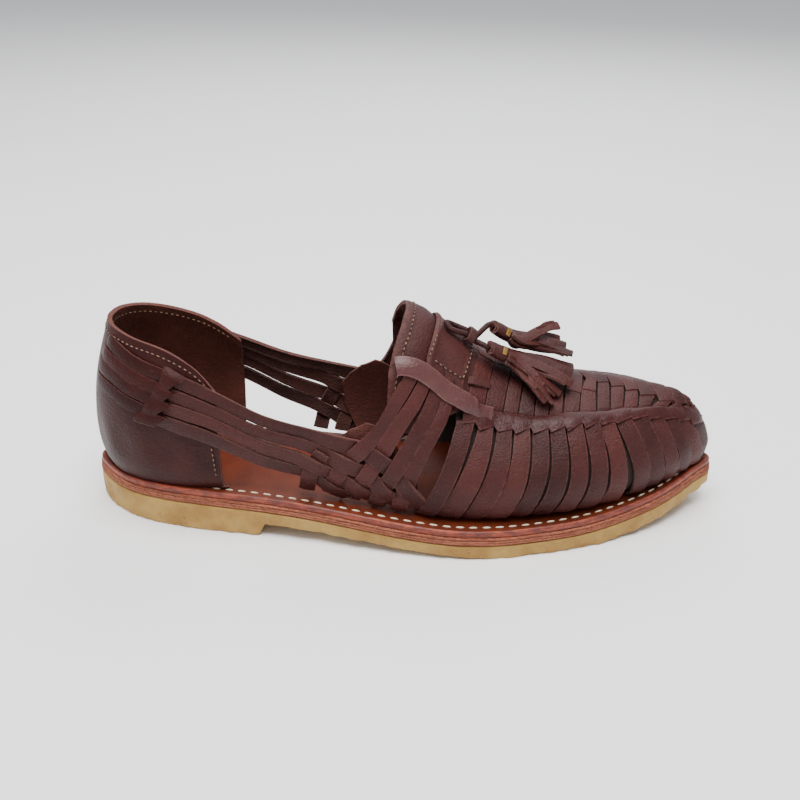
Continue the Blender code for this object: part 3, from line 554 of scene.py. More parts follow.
# Foot shape inside the upper, a row for each station from heel to toe: x, outer, inner, bulge,
# widest height, lean and top of both sides, and crown, as shares of length, width or height.
LAST_ROWS = (
    (0.022, 0.000, 0.000, 0.029, 0.350, 0.092, 0.092, 0.880, 0.880, 0.880),
    (0.044, 0.144, 0.144, 0.037, 0.350, 0.056, 0.056, 0.880, 0.862, 0.880),
    (0.088, 0.236, 0.236, 0.044, 0.350, 0.036, 0.036, 0.850, 0.825, 0.860),
    (0.152, 0.287, 0.282, 0.036, 0.325, 0.026, 0.026, 0.795, 0.747, 0.800),
    (0.216, 0.297, 0.282, 0.041, 0.295, 0.015, 0.015, 0.645, 0.627, 0.700),
    (0.287, 0.292, 0.267, 0.046, 0.240, -0.020, -0.020, 0.548, 0.554, 0.640),
    (0.355, 0.287, 0.257, 0.051, 0.230, -0.030, -0.030, 0.512, 0.542, 0.640),
    (0.422, 0.318, 0.267, 0.051, 0.217, -0.010, -0.020, 0.572, 0.602, 0.720),
    (0.490, 0.352, 0.275, 0.050, 0.235, 0.070, -0.012, 0.789, 0.795, 1.000),
    (0.557, 0.367, 0.300, 0.060, 0.223, 0.116, 0.034, 0.657, 0.669, 0.890),
    (0.625, 0.360, 0.339, 0.070, 0.205, 0.124, 0.073, 0.530, 0.554, 0.722),
    (0.693, 0.317, 0.353, 0.082, 0.193, 0.081, 0.071, 0.470, 0.494, 0.627),
    (0.760, 0.266, 0.348, 0.087, 0.175, 0.050, 0.055, 0.470, 0.482, 0.590),
    (0.828, 0.184, 0.307, 0.087, 0.163, 0.040, 0.045, 0.452, 0.464, 0.548),
    (0.885, 0.091, 0.245, 0.082, 0.150, 0.035, 0.040, 0.434, 0.434, 0.490),
    (0.939, -0.012, 0.167, 0.068, 0.139, 0.032, 0.037, 0.386, 0.386, 0.418),
    (0.974, -0.092, 0.092, 0.030, 0.114, 0.060, 0.060, 0.307, 0.307, 0.307),
)
last = np.array(LAST_ROWS) * ([SOLE_LENGTH] + [SOLE_WIDTH] * 3 + [UPPER_HEIGHT] + [SOLE_WIDTH] * 2
                              + [UPPER_HEIGHT] * 3)
LAST_RING = ring_of(last[:, [0, 1, 3, 4, 5, 7]] * (1, -1, 1, 1, 1, 1), last[:, [0, 2, 3, 4, 6, 8]])
CROWN = last[:, 9:10]


def side_lines(place):
    x, y, bulge, wide, lean, top = curve_at(LAST_RING, place, True).T
    out = outward(LAST_RING, np.atleast_1d(place))
    base = platform_top(x) + LAST_GAP
    foot = np.stack([x, y, base], 1)
    widest = np.stack([x + bulge * out[:, 0], y + bulge * out[:, 1], base + wide], 1)
    crest = np.stack([x - lean * out[:, 0], y - lean * out[:, 1], base + top], 1)
    return foot, widest, crest


def last_point(station, girth):
    """Point of the foot shape. Girth is -2 at the outer foot line, -1 at the outer top line, 0 at
    the crown, 1 at the inner top line and 2 at the inner foot line."""
    station, girth = np.broadcast_arrays(np.atleast_1d(station), np.atleast_1d(girth))
    place = np.where(girth > 0, TURN - station, station)
    rise = (2 - np.abs(girth))[:, None]
    foot, widest, crest = side_lines(place)
    side = (foot * (rise - WIDE_SHARE) * (rise - 1) / WIDE_SHARE
            + widest * rise * (rise - 1) / (WIDE_SHARE * (WIDE_SHARE - 1))
            + crest * rise * (rise - WIDE_SHARE) / (1 - WIDE_SHARE))
    outer_crest = side_lines(station)[2]
    inner_crest = side_lines(TURN - station)[2]
    middle = (outer_crest + inner_crest) / 2
    middle[:, 2] = platform_top(middle[:, 0]) + LAST_GAP + curve_at(CROWN, station, False)[:, 0]
    t = girth[:, None]
    crown = outer_crest * t * (t - 1) / 2 + middle * (1 - t ** 2) + inner_crest * t * (t + 1) / 2
    return np.where(np.abs(t) >= 1, side, crown)


def lay(station, girth, lift):
    """Points lifted off the foot shape, and the directions out of it."""
    station, girth, lift = np.broadcast_arrays(np.atleast_1d(station).astype(float),
                                               np.atleast_1d(girth).astype(float), lift)
    step = 0.02
    # The step round the foot stays on one side of a top line, where the foot shape has a crease.
    ahead = np.where(np.abs(girth) < 1, np.minimum(station + step, TOE), station + step)
    along = last_point(ahead, girth) - last_point(station - step, girth)
    over = np.minimum(girth + step, np.where(girth <= -1, -1, 2))
    under = np.maximum(girth - step, np.where(girth >= 1, 1, -2))
    around = last_point(station, over) - last_point(station, under)
    normal = np.cross(along, around)
    normal /= np.linalg.norm(normal, axis=1)[:, None]
    point = last_point(station, girth) + lift[:, None] * normal
    point[:, 2] = np.maximum(point[:, 2], platform_top(point[:, 0]) + 0.0002)
    return point, normal


def brown_leather(name, sheen, grain, tone_low, tone_high, edge_color, gloss=0.21):
    """Waxed brown leather. tone and edge are traits of the mesh: a shade for each strip, and how
    near a point is to the strip's edge."""
    made, shader = new_material(name)
    patch = cloud(0.022, 4.0, 0.6, 0.3)
    fine = cells(0.0009) * 0.7 + cloud(0.0005, 3.0, 0.6) * 0.8
    wrinkle = cloud(0.004, 4.0, 0.6, 1.2, (1.0, 1.0, 1.6))
    scuff = cloud(0.0026, 5.0, 0.75, 0.6)
    tone = trait("tone")
    color = tint((patch * 0.5 + tone * 0.5).band(0.25, 0.75), shade(tone_low), shade(tone_high))
    color = tint(scuff.band(0.58, 0.76) * 0.45, color, shade(edge_color))
    # Near the cut edges the colour goes towards the pale edge colour: partly real rubbing, partly a painted
    # highlight where the edges catch the light.
    rubbed_and_highlit_edge = trait("edge").band(0.80, 1.0) * 0.40 * cloud(0.003).band(0.35, 0.6)
    color = tint(rubbed_and_highlit_edge, color, shade(edge_color))
    paint(shader, color, patch * 0.18 + scuff * 0.16 + sheen)
    shader.inputs["Specular IOR Level"].default_value = gloss
    bump(shader, fine * grain + wrinkle * 0.9 + patch * 0.6, 0.00035)
    return made


def raw_edge(name, dark, light):
    made, shader = new_material(name)
    fuzz = cloud(0.0007, 4.0, 0.7)
    paint(shader, tint(fuzz.band(0.35, 0.65), shade(dark), shade(light)), 0.9)
    bump(shader, fuzz, 0.0004)
    return made


suede = brown_leather("strap_suede", 0.62, 1.5, (38, 19, 16), (74, 42, 36), (96, 58, 50))
strap_leather = brown_leather("strap_leather", 0.30, 0.8, (45, 17, 16), (74, 34, 31), (106, 62, 55))
strap_edge = raw_edge("strap_edge", (44, 24, 22), (104, 60, 50))


def add_panel(shape, along, across, place, tone=0.5, free=True):
    """Grid added to a shape and laid out by a function of two shares, with its face outwards.

    A free panel has long edges that are cut, and so rubbed, and painted lighter there as a highlight."""
    tone_layer = shape.verts.layers.float.get("tone") or shape.verts.layers.float.new("tone")
    edge_layer = shape.verts.layers.float.get("edge") or shape.verts.layers.float.new("edge")
    made = bmesh.ops.create_grid(shape, x_segments=along, y_segments=across, size=1.0)["verts"]
    u = np.array([(vert.co.x + 1) / 2 for vert in made])
    v = np.array([(vert.co.y + 1) / 2 for vert in made])
    spots, normals = place(u, v)
    for k, vert in enumerate(made):
        vert.co = spots[k]
        vert[tone_layer] = tone
        vert[edge_layer] = abs(2 * v[k] - 1) if free else 0.0
    number = {vert: k for k, vert in enumerate(made)}
    faces = list(dict.fromkeys(face for vert in made for face in vert.link_faces))
    outward_area = 0.0
    for face in faces:
        face.normal_update()
        outward_area += face.calc_area() * face.normal.dot(Vector(normals[number[face.verts[0]]]))
    if outward_area < 0:
        bmesh.ops.reverse_faces(shape, faces=faces)
    return shape


def strap_path(path, share):
    """Smooth station, girth and lift along a strap's rows."""
    rows = np.array(path, float)
    return curve_at(rows, np.clip(share, 0, 1) * (len(rows) - 1), False)


def lay_strap(path, width, crown=0.0002, wobble=0.0, bumps=(), tilt=0.0):
    """Place function of a flat strap that bends with the foot shape. Its width may be a list of
    widths at even shares of its path, and a tilt lifts one edge of it."""
    widths = np.atleast_1d(width)
    shares = np.linspace(0, 1, len(widths))

    def place(u, v):
        at = strap_path(path, u)
        ahead = strap_path(path, np.minimum(u + 0.01, 1))
        behind = strap_path(path, np.maximum(u - 0.01, 0))
        centre, normal = lay(at[:, 0], at[:, 1], at[:, 2])
        front, _ = lay(ahead[:, 0], ahead[:, 1], ahead[:, 2])
        rear, _ = lay(behind[:, 0], behind[:, 1], behind[:, 2])
        along = front - rear
        side = np.cross(along, normal)
        side /= np.linalg.norm(side, axis=1)[:, None]
        off = (v - 0.5) * np.interp(u, shares, widths)
        point = centre + side * off[:, None]
        high = crown * (1 - (2 * v - 1) ** 2) + wobble * np.sin(u * 17 + v * 5) + tilt * (v - 0.5)
        for spot, radius, rise in bumps:
            high = high + rise * hump(np.linalg.norm(centre - spot, axis=1), 0.0, radius)
        return point + normal * high[:, None], normal
    return place


def leather_piece(name, shape, finishes, thickness, node, bevel=0.00028, inside=0):
    """Sheet leather in place of a node: its thickness goes inwards and its cut edges are rounded. A
    different finish, counted on from its first, may cover its inside."""
    piece = make_piece(name, shape, finishes)
    wall = piece.modifiers.new("wall", 'SOLIDIFY')
    wall.thickness = thickness
    wall.offset = -1.0
    wall.material_offset_rim = 1
    wall.material_offset = inside
    round_edge = piece.modifiers.new("round_edge", 'BEVEL')
    round_edge.width = bevel
    round_edge.segments = 2
    round_edge.limit_method = 'ANGLE'
    round_edge.angle_limit = math.radians(50)
    round_edge.harden_normals = True
    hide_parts(node)
    return piece


# Middle line of each strap from rear to front, and of each cross strip from its top down: station,
# girth and height over the foot shape in millimetres.
SIDE_STRAPS = (
    ((3.20, -1.150, 3.4), (3.70, -1.135, 3.9), (4.20, -1.130, 3.9), (4.80, -1.145, 3.7), (5.90, -1.200, 3.0),
     (6.70, -1.270, 2.6), (7.24, -1.350, 2.6), (7.61, -1.430, 2.6), (7.96, -1.530, 2.6), (8.26, -1.640, 2.4),
     (8.60, -1.820, 2.0), (8.68, -1.90, 1.6)),
    ((3.05, -1.255, 3.3), (3.60, -1.250, 3.8), (4.10, -1.250, 3.8), (4.80, -1.275, 3.6), (5.90, -1.340, 2.9),
     (6.45, -1.410, 2.6), (6.92, -1.480, 2.6), (7.43, -1.580, 2.6), (7.75, -1.710, 2.4), (8.08, -1.860, 2.0),
     (8.16, -1.92, 1.6)),
    ((2.90, -1.355, 3.2), (3.45, -1.355, 3.7), (4.00, -1.360, 3.7), (4.80, -1.415, 3.5), (5.90, -1.530, 2.8),
     (6.35, -1.590, 2.6), (6.74, -1.650, 2.5), (7.16, -1.740, 2.3), (7.56, -1.870, 2.0), (7.64, -1.93, 1.6)),
    ((2.74, -1.450, 3.1), (3.30, -1.470, 3.6), (3.90, -1.495, 3.6), (4.80, -1.570, 3.3), (5.90, -1.690, 2.6),
     (6.40, -1.780, 2.4), (6.80, -1.870, 2.0), (6.90, -1.93, 1.6)),
)
CROSS_STRIPS = (
    ((6.42, -1.400, 2.2), (6.22, -1.560, 2.4), (6.08, -1.700, 2.4), (5.99, -1.860, 2.0), (5.95, -1.93, 1.6)),
    ((8.23, -1.000, 4.2), (7.95, -1.130, 4.0), (7.65, -1.250, 3.2), (7.24, -1.360, 2.6), (6.92, -1.480, 2.6),
     (6.72, -1.660, 2.5), (6.54, -1.860, 2.0), (6.50, -1.93, 1.6)),
    ((8.49, -1.000, 4.3), (8.31, -1.120, 4.2), (8.12, -1.210, 3.8), (7.75, -1.390, 2.9), (7.45, -1.560, 2.6),
     (7.22, -1.720, 2.5), (7.08, -1.860, 2.0), (7.04, -1.93, 1.6)),
    ((8.75, -1.000, 4.4), (8.64, -1.115, 4.3), (8.53, -1.200, 4.0), (8.32, -1.340, 3.2), (8.05, -1.510, 2.7),
     (7.78, -1.690, 2.5), (7.62, -1.860, 2.0), (7.57, -1.93, 1.6)),
    ((9.04, -1.000, 4.4), (8.90, -1.140, 4.2), (8.75, -1.250, 3.6), (8.46, -1.470, 2.8), (8.28, -1.640, 2.5),
     (8.13, -1.850, 2.0), (8.10, -1.93, 1.6)),
)
STRAP_WIDTH = 0.0079
CROSS_WIDTH = 0.0074
STRAP_THICKNESS = 0.0019
WEAVE_RISE = 0.0010
WEAVE_REACH = 0.0052
SIDES = (("outer", -1), ("inner", 1))
TOUCH = 0.0015
STRAP_GAP = 0.0006


def on_side(path, side):
    return [(s, side * -g, lift / 1000) for s, g, lift in path]


def free_width(index, paths, width):
    """Widths along a strap that leave a narrow gap to the straps beside it."""
    def centres(path, count):
        rows = strap_path(path, np.linspace(0, 1, count))
        return lay(rows[:, 0], rows[:, 1], 0.002)[0]
    own = centres(paths[index], 24)
    beside = []
    for other in (index - 1, index + 1):
        if 0 <= other < len(paths):
            gaps = np.linalg.norm(own[:, None] - centres(paths[other], 160)[None], axis=2).min(axis=1)
            beside.append(gaps)
    nearest = np.mean(beside, axis=0) if beside else np.full(24, width)
    return np.clip(nearest - STRAP_GAP, 0.6 * width, width)


def meeting(first, second):
    """Closest places of two paths as points, or None where they stay apart."""
    a = strap_path(first, np.linspace(0, 1, 120))
    b = strap_path(second, np.linspace(0, 1, 120))
    pa, _ = lay(a[:, 0], a[:, 1], 0.002)
    pb, _ = lay(b[:, 0], b[:, 1], 0.002)
    gap = np.linalg.norm(pa[:, None] - pb[None], axis=2)
    i, j = np.unravel_index(gap.argmin(), gap.shape)
    return (pa[i] + pb[j]) / 2 if gap[i, j] < TOUCH else None


for side_name, side in SIDES:
    straps = [on_side(path, side) for path in SIDE_STRAPS]
    strips = [on_side(path, side) for path in CROSS_STRIPS]
    strap_bumps = [[] for _ in straps]
    strip_bumps = [[] for _ in strips]
    for k, strap in enumerate(straps):
        for j, strip in enumerate(strips):
            spot = meeting(strap, strip)
            if spot is not None:
                over = 1 if (j + k) % 2 == 0 else -1
                strap_bumps[k].append((spot, WEAVE_REACH, over * WEAVE_RISE))
                strip_bumps[j].append((spot, WEAVE_REACH, -over * WEAVE_RISE))
    shape = bmesh.new()
    for k, strap in enumerate(straps):
        widths = free_width(k, straps, STRAP_WIDTH)
        add_panel(shape, 90, 5, lay_strap(strap, widths, 0.0003, 0.00008, strap_bumps[k], side * 0.0005),
                  0.35 + 0.12 * (k % 3))
    for j, strip in enumerate(strips):
        widths = free_width(j - 1, strips[1:], CROSS_WIDTH) if j else CROSS_WIDTH
        add_panel(shape, 60, 5, lay_strap(strip, widths, 0.0004, 0.00006, strip_bumps[j]),
                  0.45 + 0.14 * (j % 3))
    leather_piece(f"side_weave_{side_name}", shape, [strap_leather, strap_edge, suede], STRAP_THICKNESS,
                  "woven_upper", inside=2)


# Vamp: 14 strips a side rise from slots in the platform to the ridge, with a last one round the
# toe. Each leaves a narrow dark slot to the one behind it, the widest behind the tenth strip, and
# their heads go into slits cut on a slant under the ridge.
def between(rear, front, lift):
    """Place function of a panel between two lines of station and girth."""
    def place(u, v):
        a = curve_at(rear, u * (len(rear) - 1), False)
        b = curve_at(front, u * (len(front) - 1), False)
        spot = a * (1 - v)[:, None] + b * v[:, None]
        return lay(spot[:, 0], spot[:, 1], lift(u, v))
    return place


def sided(rows, side):
    return [(station, side * -girth) for station, girth in rows]


# Each strip: foot from and to, then its head's rear and front as station and girth.
VAMP_STRIPS = (
    (8.40, 8.80, (9.30, -1.13), (9.70, -1.08)), (8.85, 9.34, (9.80, -1.12), (10.19, -1.06)),
    (9.45, 9.82, (10.27, -1.09), (10.63, -1.05)), (9.87, 10.34, (10.67, -1.08), (11.03, -1.02)),
    (10.41, 10.81, (11.07, -1.06), (11.44, -1.02)), (10.90, 11.36, (11.47, -1.05), (11.81, -1.01)),
    (11.43, 11.83, (11.84, -1.05), (12.20, -0.99)), (11.92, 12.35, (12.23, -1.04), (12.57, -1.00)),
    (12.42, 12.93, (12.59, -1.03), (12.91, -1.02)), (13.26, 13.65, (12.96, -1.04), (13.36, -1.02)),
    (13.69, 14.10, (13.38, -1.04), (13.81, -1.04)), (14.15, 14.60, (13.83, -1.07), (14.22, -1.08)),
    (14.65, 15.09, (14.24, -1.10), (14.58, -1.11)), (15.14, 15.76, (14.61, -1.15), (15.01, -1.16)),
    (15.82, 16.18, (15.06, -1.22), (16.94, -1.22)),
)
# How far the rear of each strip is moved on in its middle, which opens a dark slot behind it.
VAMP_GAPS = (0.03, -0.03, -0.04, -0.01, 0.02, 0.05, 0.06, 0.06, 0.07, 0.03, 0.06, 0.06, 0.06, 0.06, 0.05)
WALL = 0.0020
SHINGLE = 0.0012
VAMP_THICKNESS = 0.0015
STRIP_BOW = 0.03
FOOT_GIRTH = -1.985
HEAD_TUCK = 0.035
STRIP_TONES = (0.30, 0.55, 0.42, 0.68, 0.36)


def vamp_lift(seed):
    def lift(u, v):
        across = 2 * v - 1
        rise = WALL + SHINGLE * (0.15 + 0.85 * v) + 0.0003 * (1 - across ** 2)
        rise = rise - 0.0017 * np.clip((u - 0.93) / 0.07, 0, 1) ** 1.5
        rise = rise - 0.0016 * np.clip((0.09 - u) / 0.09, 0, 1) ** 1.5 + 0.0005 * hump(u, 0.14, 0.07)
        return rise + 0.00016 * np.sin(9 * u + seed) * across + 0.00010 * np.sin(21 * u + 2.3 * seed)
    return lift


def vamp_lines(strip, side, gap):
    """Rear and front lines of a strip, whose rear is moved on to leave a gap behind it."""
    rear_foot, front_foot, rear_head, front_head = strip
    lines = []
    for shift, foot, (station, girth) in ((gap, rear_foot, rear_head), (STRIP_BOW, front_foot, front_head)):
        head = girth + HEAD_TUCK
        rows = []
        for share in (0.0, 0.2, 0.45, 0.7, 0.9, 1.0):
            bow = 0.05 * math.sin(math.pi * share) + shift * math.sin(math.pi * min(1.0, share + 0.08)) ** 0.7
            rows.append((foot + (station - foot) * share + bow, FOOT_GIRTH + (head - FOOT_GIRTH) * share))
        lines.append(sided(rows, side))
    return lines


for side_name, side in SIDES:
    shape = bmesh.new()
    for k, strip in enumerate(VAMP_STRIPS):
        toe = k == len(VAMP_STRIPS) - 1
        if toe and side == 1:
            continue
        rear, front = vamp_lines(strip, side, VAMP_GAPS[k])
        add_panel(shape, 44, 24 if toe else 8, between(rear, front, vamp_lift(1.7 * k)), STRIP_TONES[k % 5])
    leather_piece(f"vamp_strips_{side_name}", shape, [strap_leather, strap_edge], VAMP_THICKNESS,
                  "woven_upper")


# Slots: each vamp strip goes down into a slot cut in the platform. The dark notch that a slot
# shows between two strips is a flat bead of painted shade on the platform.
SLOT_OUT = 0.0028
SLOT_WIDTH = 0.0022
SLOT_DEPTH = 0.0007
slot_shade_beads = bmesh.new()
for side in (-1, 1):
    for strip, following in zip(VAMP_STRIPS[:-1], VAMP_STRIPS[1:]):
        station = (strip[1] + following[0]) / 2
        (rear_end, front_end), _ = lay([station - 0.10, station + 0.13], [side * 1.995] * 2, SLOT_OUT)
        along = front_end - rear_end
        length = np.linalg.norm(along)
        middle = (rear_end + front_end) / 2
        middle[2] = platform_top(middle[:1])[0] + 0.0001
        bead(slot_shade_beads, middle, along / length, UPWARD, length * 1.25, SLOT_WIDTH, SLOT_DEPTH, 10)
make_piece("platform_slot_shades", slot_shade_beads, [painted_shade_hollow])


# Plug: strips from the ridges of both sides meet over the crown in a herringbone. The outer ones
# go under the inner ones at short cross slits that step down towards the outer side of the toe.
RIDGE_UPPER = ((9.51, -0.91), (9.94, -0.92), (10.42, -0.88), (10.76, -0.85), (11.11, -0.85), (11.45, -0.83),
               (11.77, -0.80), (12.14, -0.79), (12.54, -0.81), (12.86, -0.82), (13.21, -0.80), (13.63, -0.87),
               (14.00, -0.90), (14.48, -1.00), (14.88, -1.02), (15.36, -1.02), (15.76, -1.01))
# Head of each outer strip: its rear and front corners.
PLUG_HEADS = (
    ((9.76, -0.05), (10.16, -0.05)), ((10.20, 0.00), (10.58, 0.00)), ((10.62, 0.03), (10.91, 0.03)),
    ((10.95, 0.06), (11.22, 0.06)), ((11.25, 0.09), (11.56, 0.10)), ((11.58, 0.12), (11.86, 0.13)),
    ((11.88, -0.34), (12.21, -0.42)), ((12.26, -0.30), (12.55, -0.38)), ((12.66, -0.07), (12.92, -0.05)),
    ((12.98, -0.19), (13.31, -0.17)), ((13.36, -0.31), (13.70, -0.29)), ((13.76, -0.48), (14.21, -0.48)),
    ((14.30, -0.75), (14.72, -0.77)), ((14.78, -0.93), (15.20, -0.93)),
)
# Two last strips go straight across the toe: rear and front lines from the outer ridge to the inner.
TOE_STRIPS = (
    (((14.90, -1.05), (15.16, -0.93), (15.04, 0.0), (14.88, 1.05)),
     ((15.38, -1.05), (15.44, -0.93), (15.40, 0.0), (15.36, 1.05))),
    (((15.35, -1.05), (15.41, -0.93), (15.39, 0.0), (15.37, 1.05)),
     ((15.90, -1.05), (15.92, -0.93), (15.92, 0.0), (15.90, 1.05))),
)
PLUG_SLOT = 0.02
HEAD_LAP = 0.05
PLUG_TONES = (0.62, 0.40, 0.54, 0.34, 0.48)
# Where two strips of the inner side run over the crown: their far ends.
PLUG_CROWN = {6: ((11.94, 0.138), (12.33, 0.138)), 7: ((12.42, 0.055), (12.64, 0.00))}


def plug_lift(base, dip_foot, dip_head, seed):
    def lift(u, v):
        rise = base + 0.0003 * (1 - (2 * v - 1) ** 2) + 0.00045 * v
        rise = rise - dip_foot * np.clip((0.14 - u) / 0.14, 0, 1) ** 1.5
        rise = rise - dip_head * np.clip((u - 0.86) / 0.14, 0, 1) ** 1.5
        return rise + 0.00010 * np.sin(8 * u + seed)
    return lift


def plug_panel(shape, feet, heads, lift, tone):
    lines = []
    for foot, head in zip(feet, heads):
        lines.append([(foot[0] + (head[0] - foot[0]) * t, foot[1] + (head[1] - foot[1]) * t)
                      for t in (0, 0.5, 1)])
    add_panel(shape, 22, 7, between(*lines, lift), tone)


shape = bmesh.new()
for k, heads in enumerate(PLUG_HEADS):
    feet = [(station + shift, girth - HEAD_TUCK) for (station, girth), shift in
            ((RIDGE_UPPER[k], PLUG_SLOT), (RIDGE_UPPER[k + 1], -PLUG_SLOT))]
    near_heads = [(station, girth + HEAD_LAP) for station, girth in heads]
    tone = PLUG_TONES[k % 5]
    plug_panel(shape, feet, near_heads, plug_lift(WALL, 0.0012, 0.0016, k), tone)
    lower = heads
    if k in PLUG_CROWN:
        crown = PLUG_CROWN[k]
        tile = [(station, girth + HEAD_LAP) for station, girth in crown]
        plug_panel(shape, heads, tile, plug_lift(WALL + 0.0003, 0.0, 0.0016, k), tone + 0.1)
        lower = crown
    far = [(station, -girth) for station, girth in feet]
    plug_panel(shape, lower, far, plug_lift(WALL + 0.0003, 0.0, 0.0012, k + 3), tone - 0.08)
for k, (rear, front) in enumerate(TOE_STRIPS):
    add_panel(shape, 40, 7, between(rear, front, plug_lift(WALL, 0.0010, 0.0010, k)), 0.42 + 0.1 * k)
leather_piece("plug_strips", shape, [strap_leather, strap_edge], VAMP_THICKNESS, "woven_upper")


# Backing: a dark sheet of painted shade inside the vamp, just behind its strips. It shows only as black in
# the slits and in the gaps between them.
# From the front of the cuff to the toe, as stations.
SHADE_SHEET_START = 9.30
SHADE_SHEET_END = 15.96


def shade_sheet_place(u, v):
    station = SHADE_SHEET_START + (SHADE_SHEET_END - SHADE_SHEET_START) * u
    girth = -1.17 + 2.34 * v
    return lay(station, girth, 0.0002)


shade_sheet_finish, shader = mottled("painted_shade_sheet", 0.002, (22, 11, 10), (38, 19, 17), 0.9)
shape = add_panel(bmesh.new(), 60, 30, shade_sheet_place, free=False)
for side in (-1, 1):
    rear = sided(((8.62, FOOT_GIRTH), (8.96, -1.60), (9.62, -1.14)), side)
    front = sided([(SHADE_SHEET_END, girth) for girth in (FOOT_GIRTH, -1.60, -1.14)], side)
    add_panel(shape, 24, 80, between(rear, front, lambda u, v: np.full(len(u), 0.0003)), free=False)
vamp_shade_sheet = make_piece("vamp_painted_shade_sheet", shape, [shade_sheet_finish])
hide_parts("woven_upper")


# Ridge: one thick, rounded band of leather along each side of the vamp. The vamp strips' heads go
# into slits along its toothed lower edge, the plug strips come out from under its upper edge, and
# it is lumpy where they pass below it.
teeth_s = []
teeth_g = []
for strip in VAMP_STRIPS[:-1]:
    (rear_s, rear_g), (front_s, front_g) = strip[2:]
    teeth_s += [rear_s, front_s]
    teeth_g += [rear_g, front_g]
teeth_s += [15.06, 16.0]
teeth_g += [-1.22, -1.225]
upper_s, upper_g = zip(*RIDGE_UPPER, (16.0, -1.0))
RIDGE_START = 9.42
RIDGE_END = 15.96


def ridge_place(side):
    def place(u, v):
        station = RIDGE_START + (RIDGE_END - RIDGE_START) * u
        low = np.interp(station, teeth_s, teeth_g) + 0.006
        high = np.interp(station, upper_s, upper_g)
        girth = high + (low - high) * v
        phase = np.interp(station, upper_s[:-1], np.arange(len(upper_s) - 1))
        swell = 0.00005 * np.cos(2 * math.pi * (phase + 0.5)) * np.clip(1.2 - 1.4 * v, 0, 1)
        strip_number = np.interp(station, teeth_s[1::2], np.arange(len(teeth_s) // 2))
        tooth = 0.00012 * np.cos(2 * math.pi * strip_number)
        dome = 1 - (2 * v - 1) ** 2
        lump = 0.0003 * np.sin(5.1 * station) * np.sin(3 * v + 2.0 * station) * hump(station, 9.9, 0.9)
        end = np.clip((station - 15.3) / 0.64, 0, 1) ** 2
        lift = WALL + 0.0004 + 0.0006 * dome ** 0.8 + 0.0013 * v * (1 - end) + swell - tooth * v + lump
        return lay(station, side * -girth, lift)
    return place


RIDGE_THICKNESS = 0.0014
ridge_leather = brown_leather("ridge_leather", 0.20, 0.35, (44, 17, 17), (68, 32, 31), (106, 66, 62))
for side_name, side in SIDES:
    leather_piece(f"ridge_{side_name}", add_panel(bmesh.new(), 420, 14, ridge_place(side)),
                  [ridge_leather, strap_edge], RIDGE_THICKNESS, "woven_upper")


# Saddle cuff: a wide band of leather folded and stitched along its rear edge, across the instep.
# A deep groove crosses it in front of a soft roll, where it goes under the patch.
CUFF_ROWS = np.array((
    (0.00, 8.10, 9.84), (0.16, 8.09, 9.82), (0.32, 8.05, 9.79), (0.48, 8.01, 9.77), (0.64, 7.94, 9.74),
    (0.80, 7.86, 9.71), (1.00, 7.76, 9.56), (1.14, 7.78, 8.90), (1.28, 7.90, 8.55)))
CUFF_WALL = 0.0018
CUFF_RIM = 0.0010
CUFF_REACH = 1.28
CUFF_GROOVE_SHARE = 0.40


def saddle_station(rows, girth, share):
    rear = np.interp(np.abs(girth), rows[:, 0], rows[:, 1])
    front = np.interp(np.abs(girth), rows[:, 0], rows[:, 2])
    return rear + (front - rear) * share


def cuff_place(u, v):
    girth = CUFF_REACH * (2 * u - 1)
    free = np.clip((0.95 - np.abs(girth)) / 0.2, 0, 1)
    rise = CUFF_WALL + CUFF_RIM * free * hump(v, 0.0, 0.10) + 0.0006 * free * hump(v, 0.24, 0.11)
    rise = rise - 0.0011 * free * hump(v, CUFF_GROOVE_SHARE, 0.025)
    rise = rise + 0.0002 * np.sin(9 * girth) * v
    return lay(saddle_station(CUFF_ROWS, girth, v), girth, rise)


saddle_leather = brown_leather("saddle_leather", 0.34, 0.7, (50, 21, 20), (70, 35, 32), (102, 62, 55))
saddle_edge = raw_edge("saddle_edge", (62, 30, 26), (112, 62, 52))
leather_piece("saddle_cuff_leather", add_panel(bmesh.new(), 120, 60, cuff_place),
              [saddle_leather, saddle_edge], CUFF_WALL, "saddle_cuff")


# Saddle patch: a separate stitched piece on the cuff, with a rolled rear rim and three short slits
# below its stitching on each side.
PATCH_ROWS = np.array(((0.00, 8.70, 9.52), (0.16, 8.69, 9.51), (0.32, 8.66, 9.48), (0.48, 8.62, 9.44),
                       (0.64, 8.56, 9.40), (0.80, 8.50, 9.36)))
PATCH_WALL = 0.0015
PATCH_TOP = CUFF_WALL + 0.0006 + PATCH_WALL
PATCH_REACH = 0.90


def patch_place(u, v):
    girth = PATCH_REACH * (2 * u - 1)
    rise = PATCH_TOP - 0.0003 + 0.0007 * hump(v, 0.07, 0.08) - 0.0010 * np.clip((0.05 - v) / 0.05, 0, 1)
    return lay(saddle_station(PATCH_ROWS, girth, v), girth, rise)


leather_piece("saddle_patch_leather", add_panel(bmesh.new(), 80, 30, patch_place, 0.62),
              [saddle_leather, saddle_edge], PATCH_WALL, "saddle_patch")


# Saddle band: runs back from the ridge over the heads of the instep strips and the ends of the
# patch, and is twisted and pinched where it meets the ridge.
BAND = ((7.93, -0.960, 4.6), (8.30, -0.970, 5.2), (8.80, -0.975, 5.3), (9.20, -0.982, 5.2),
        (9.50, -0.985, 4.9), (9.80, -0.985, 4.0), (10.15, -0.975, 3.2))
BAND_WIDTH = 0.0088
BAND_THICKNESS = 0.0019
# Its colours are lighter than the other straps' leather: a painted sheen for the light on its upturned top.
band_leather_painted_sheen = brown_leather("band_leather_painted_sheen", 0.22, 0.35, (60, 30, 29), (94, 56, 54), (126, 90, 86), 0.40)


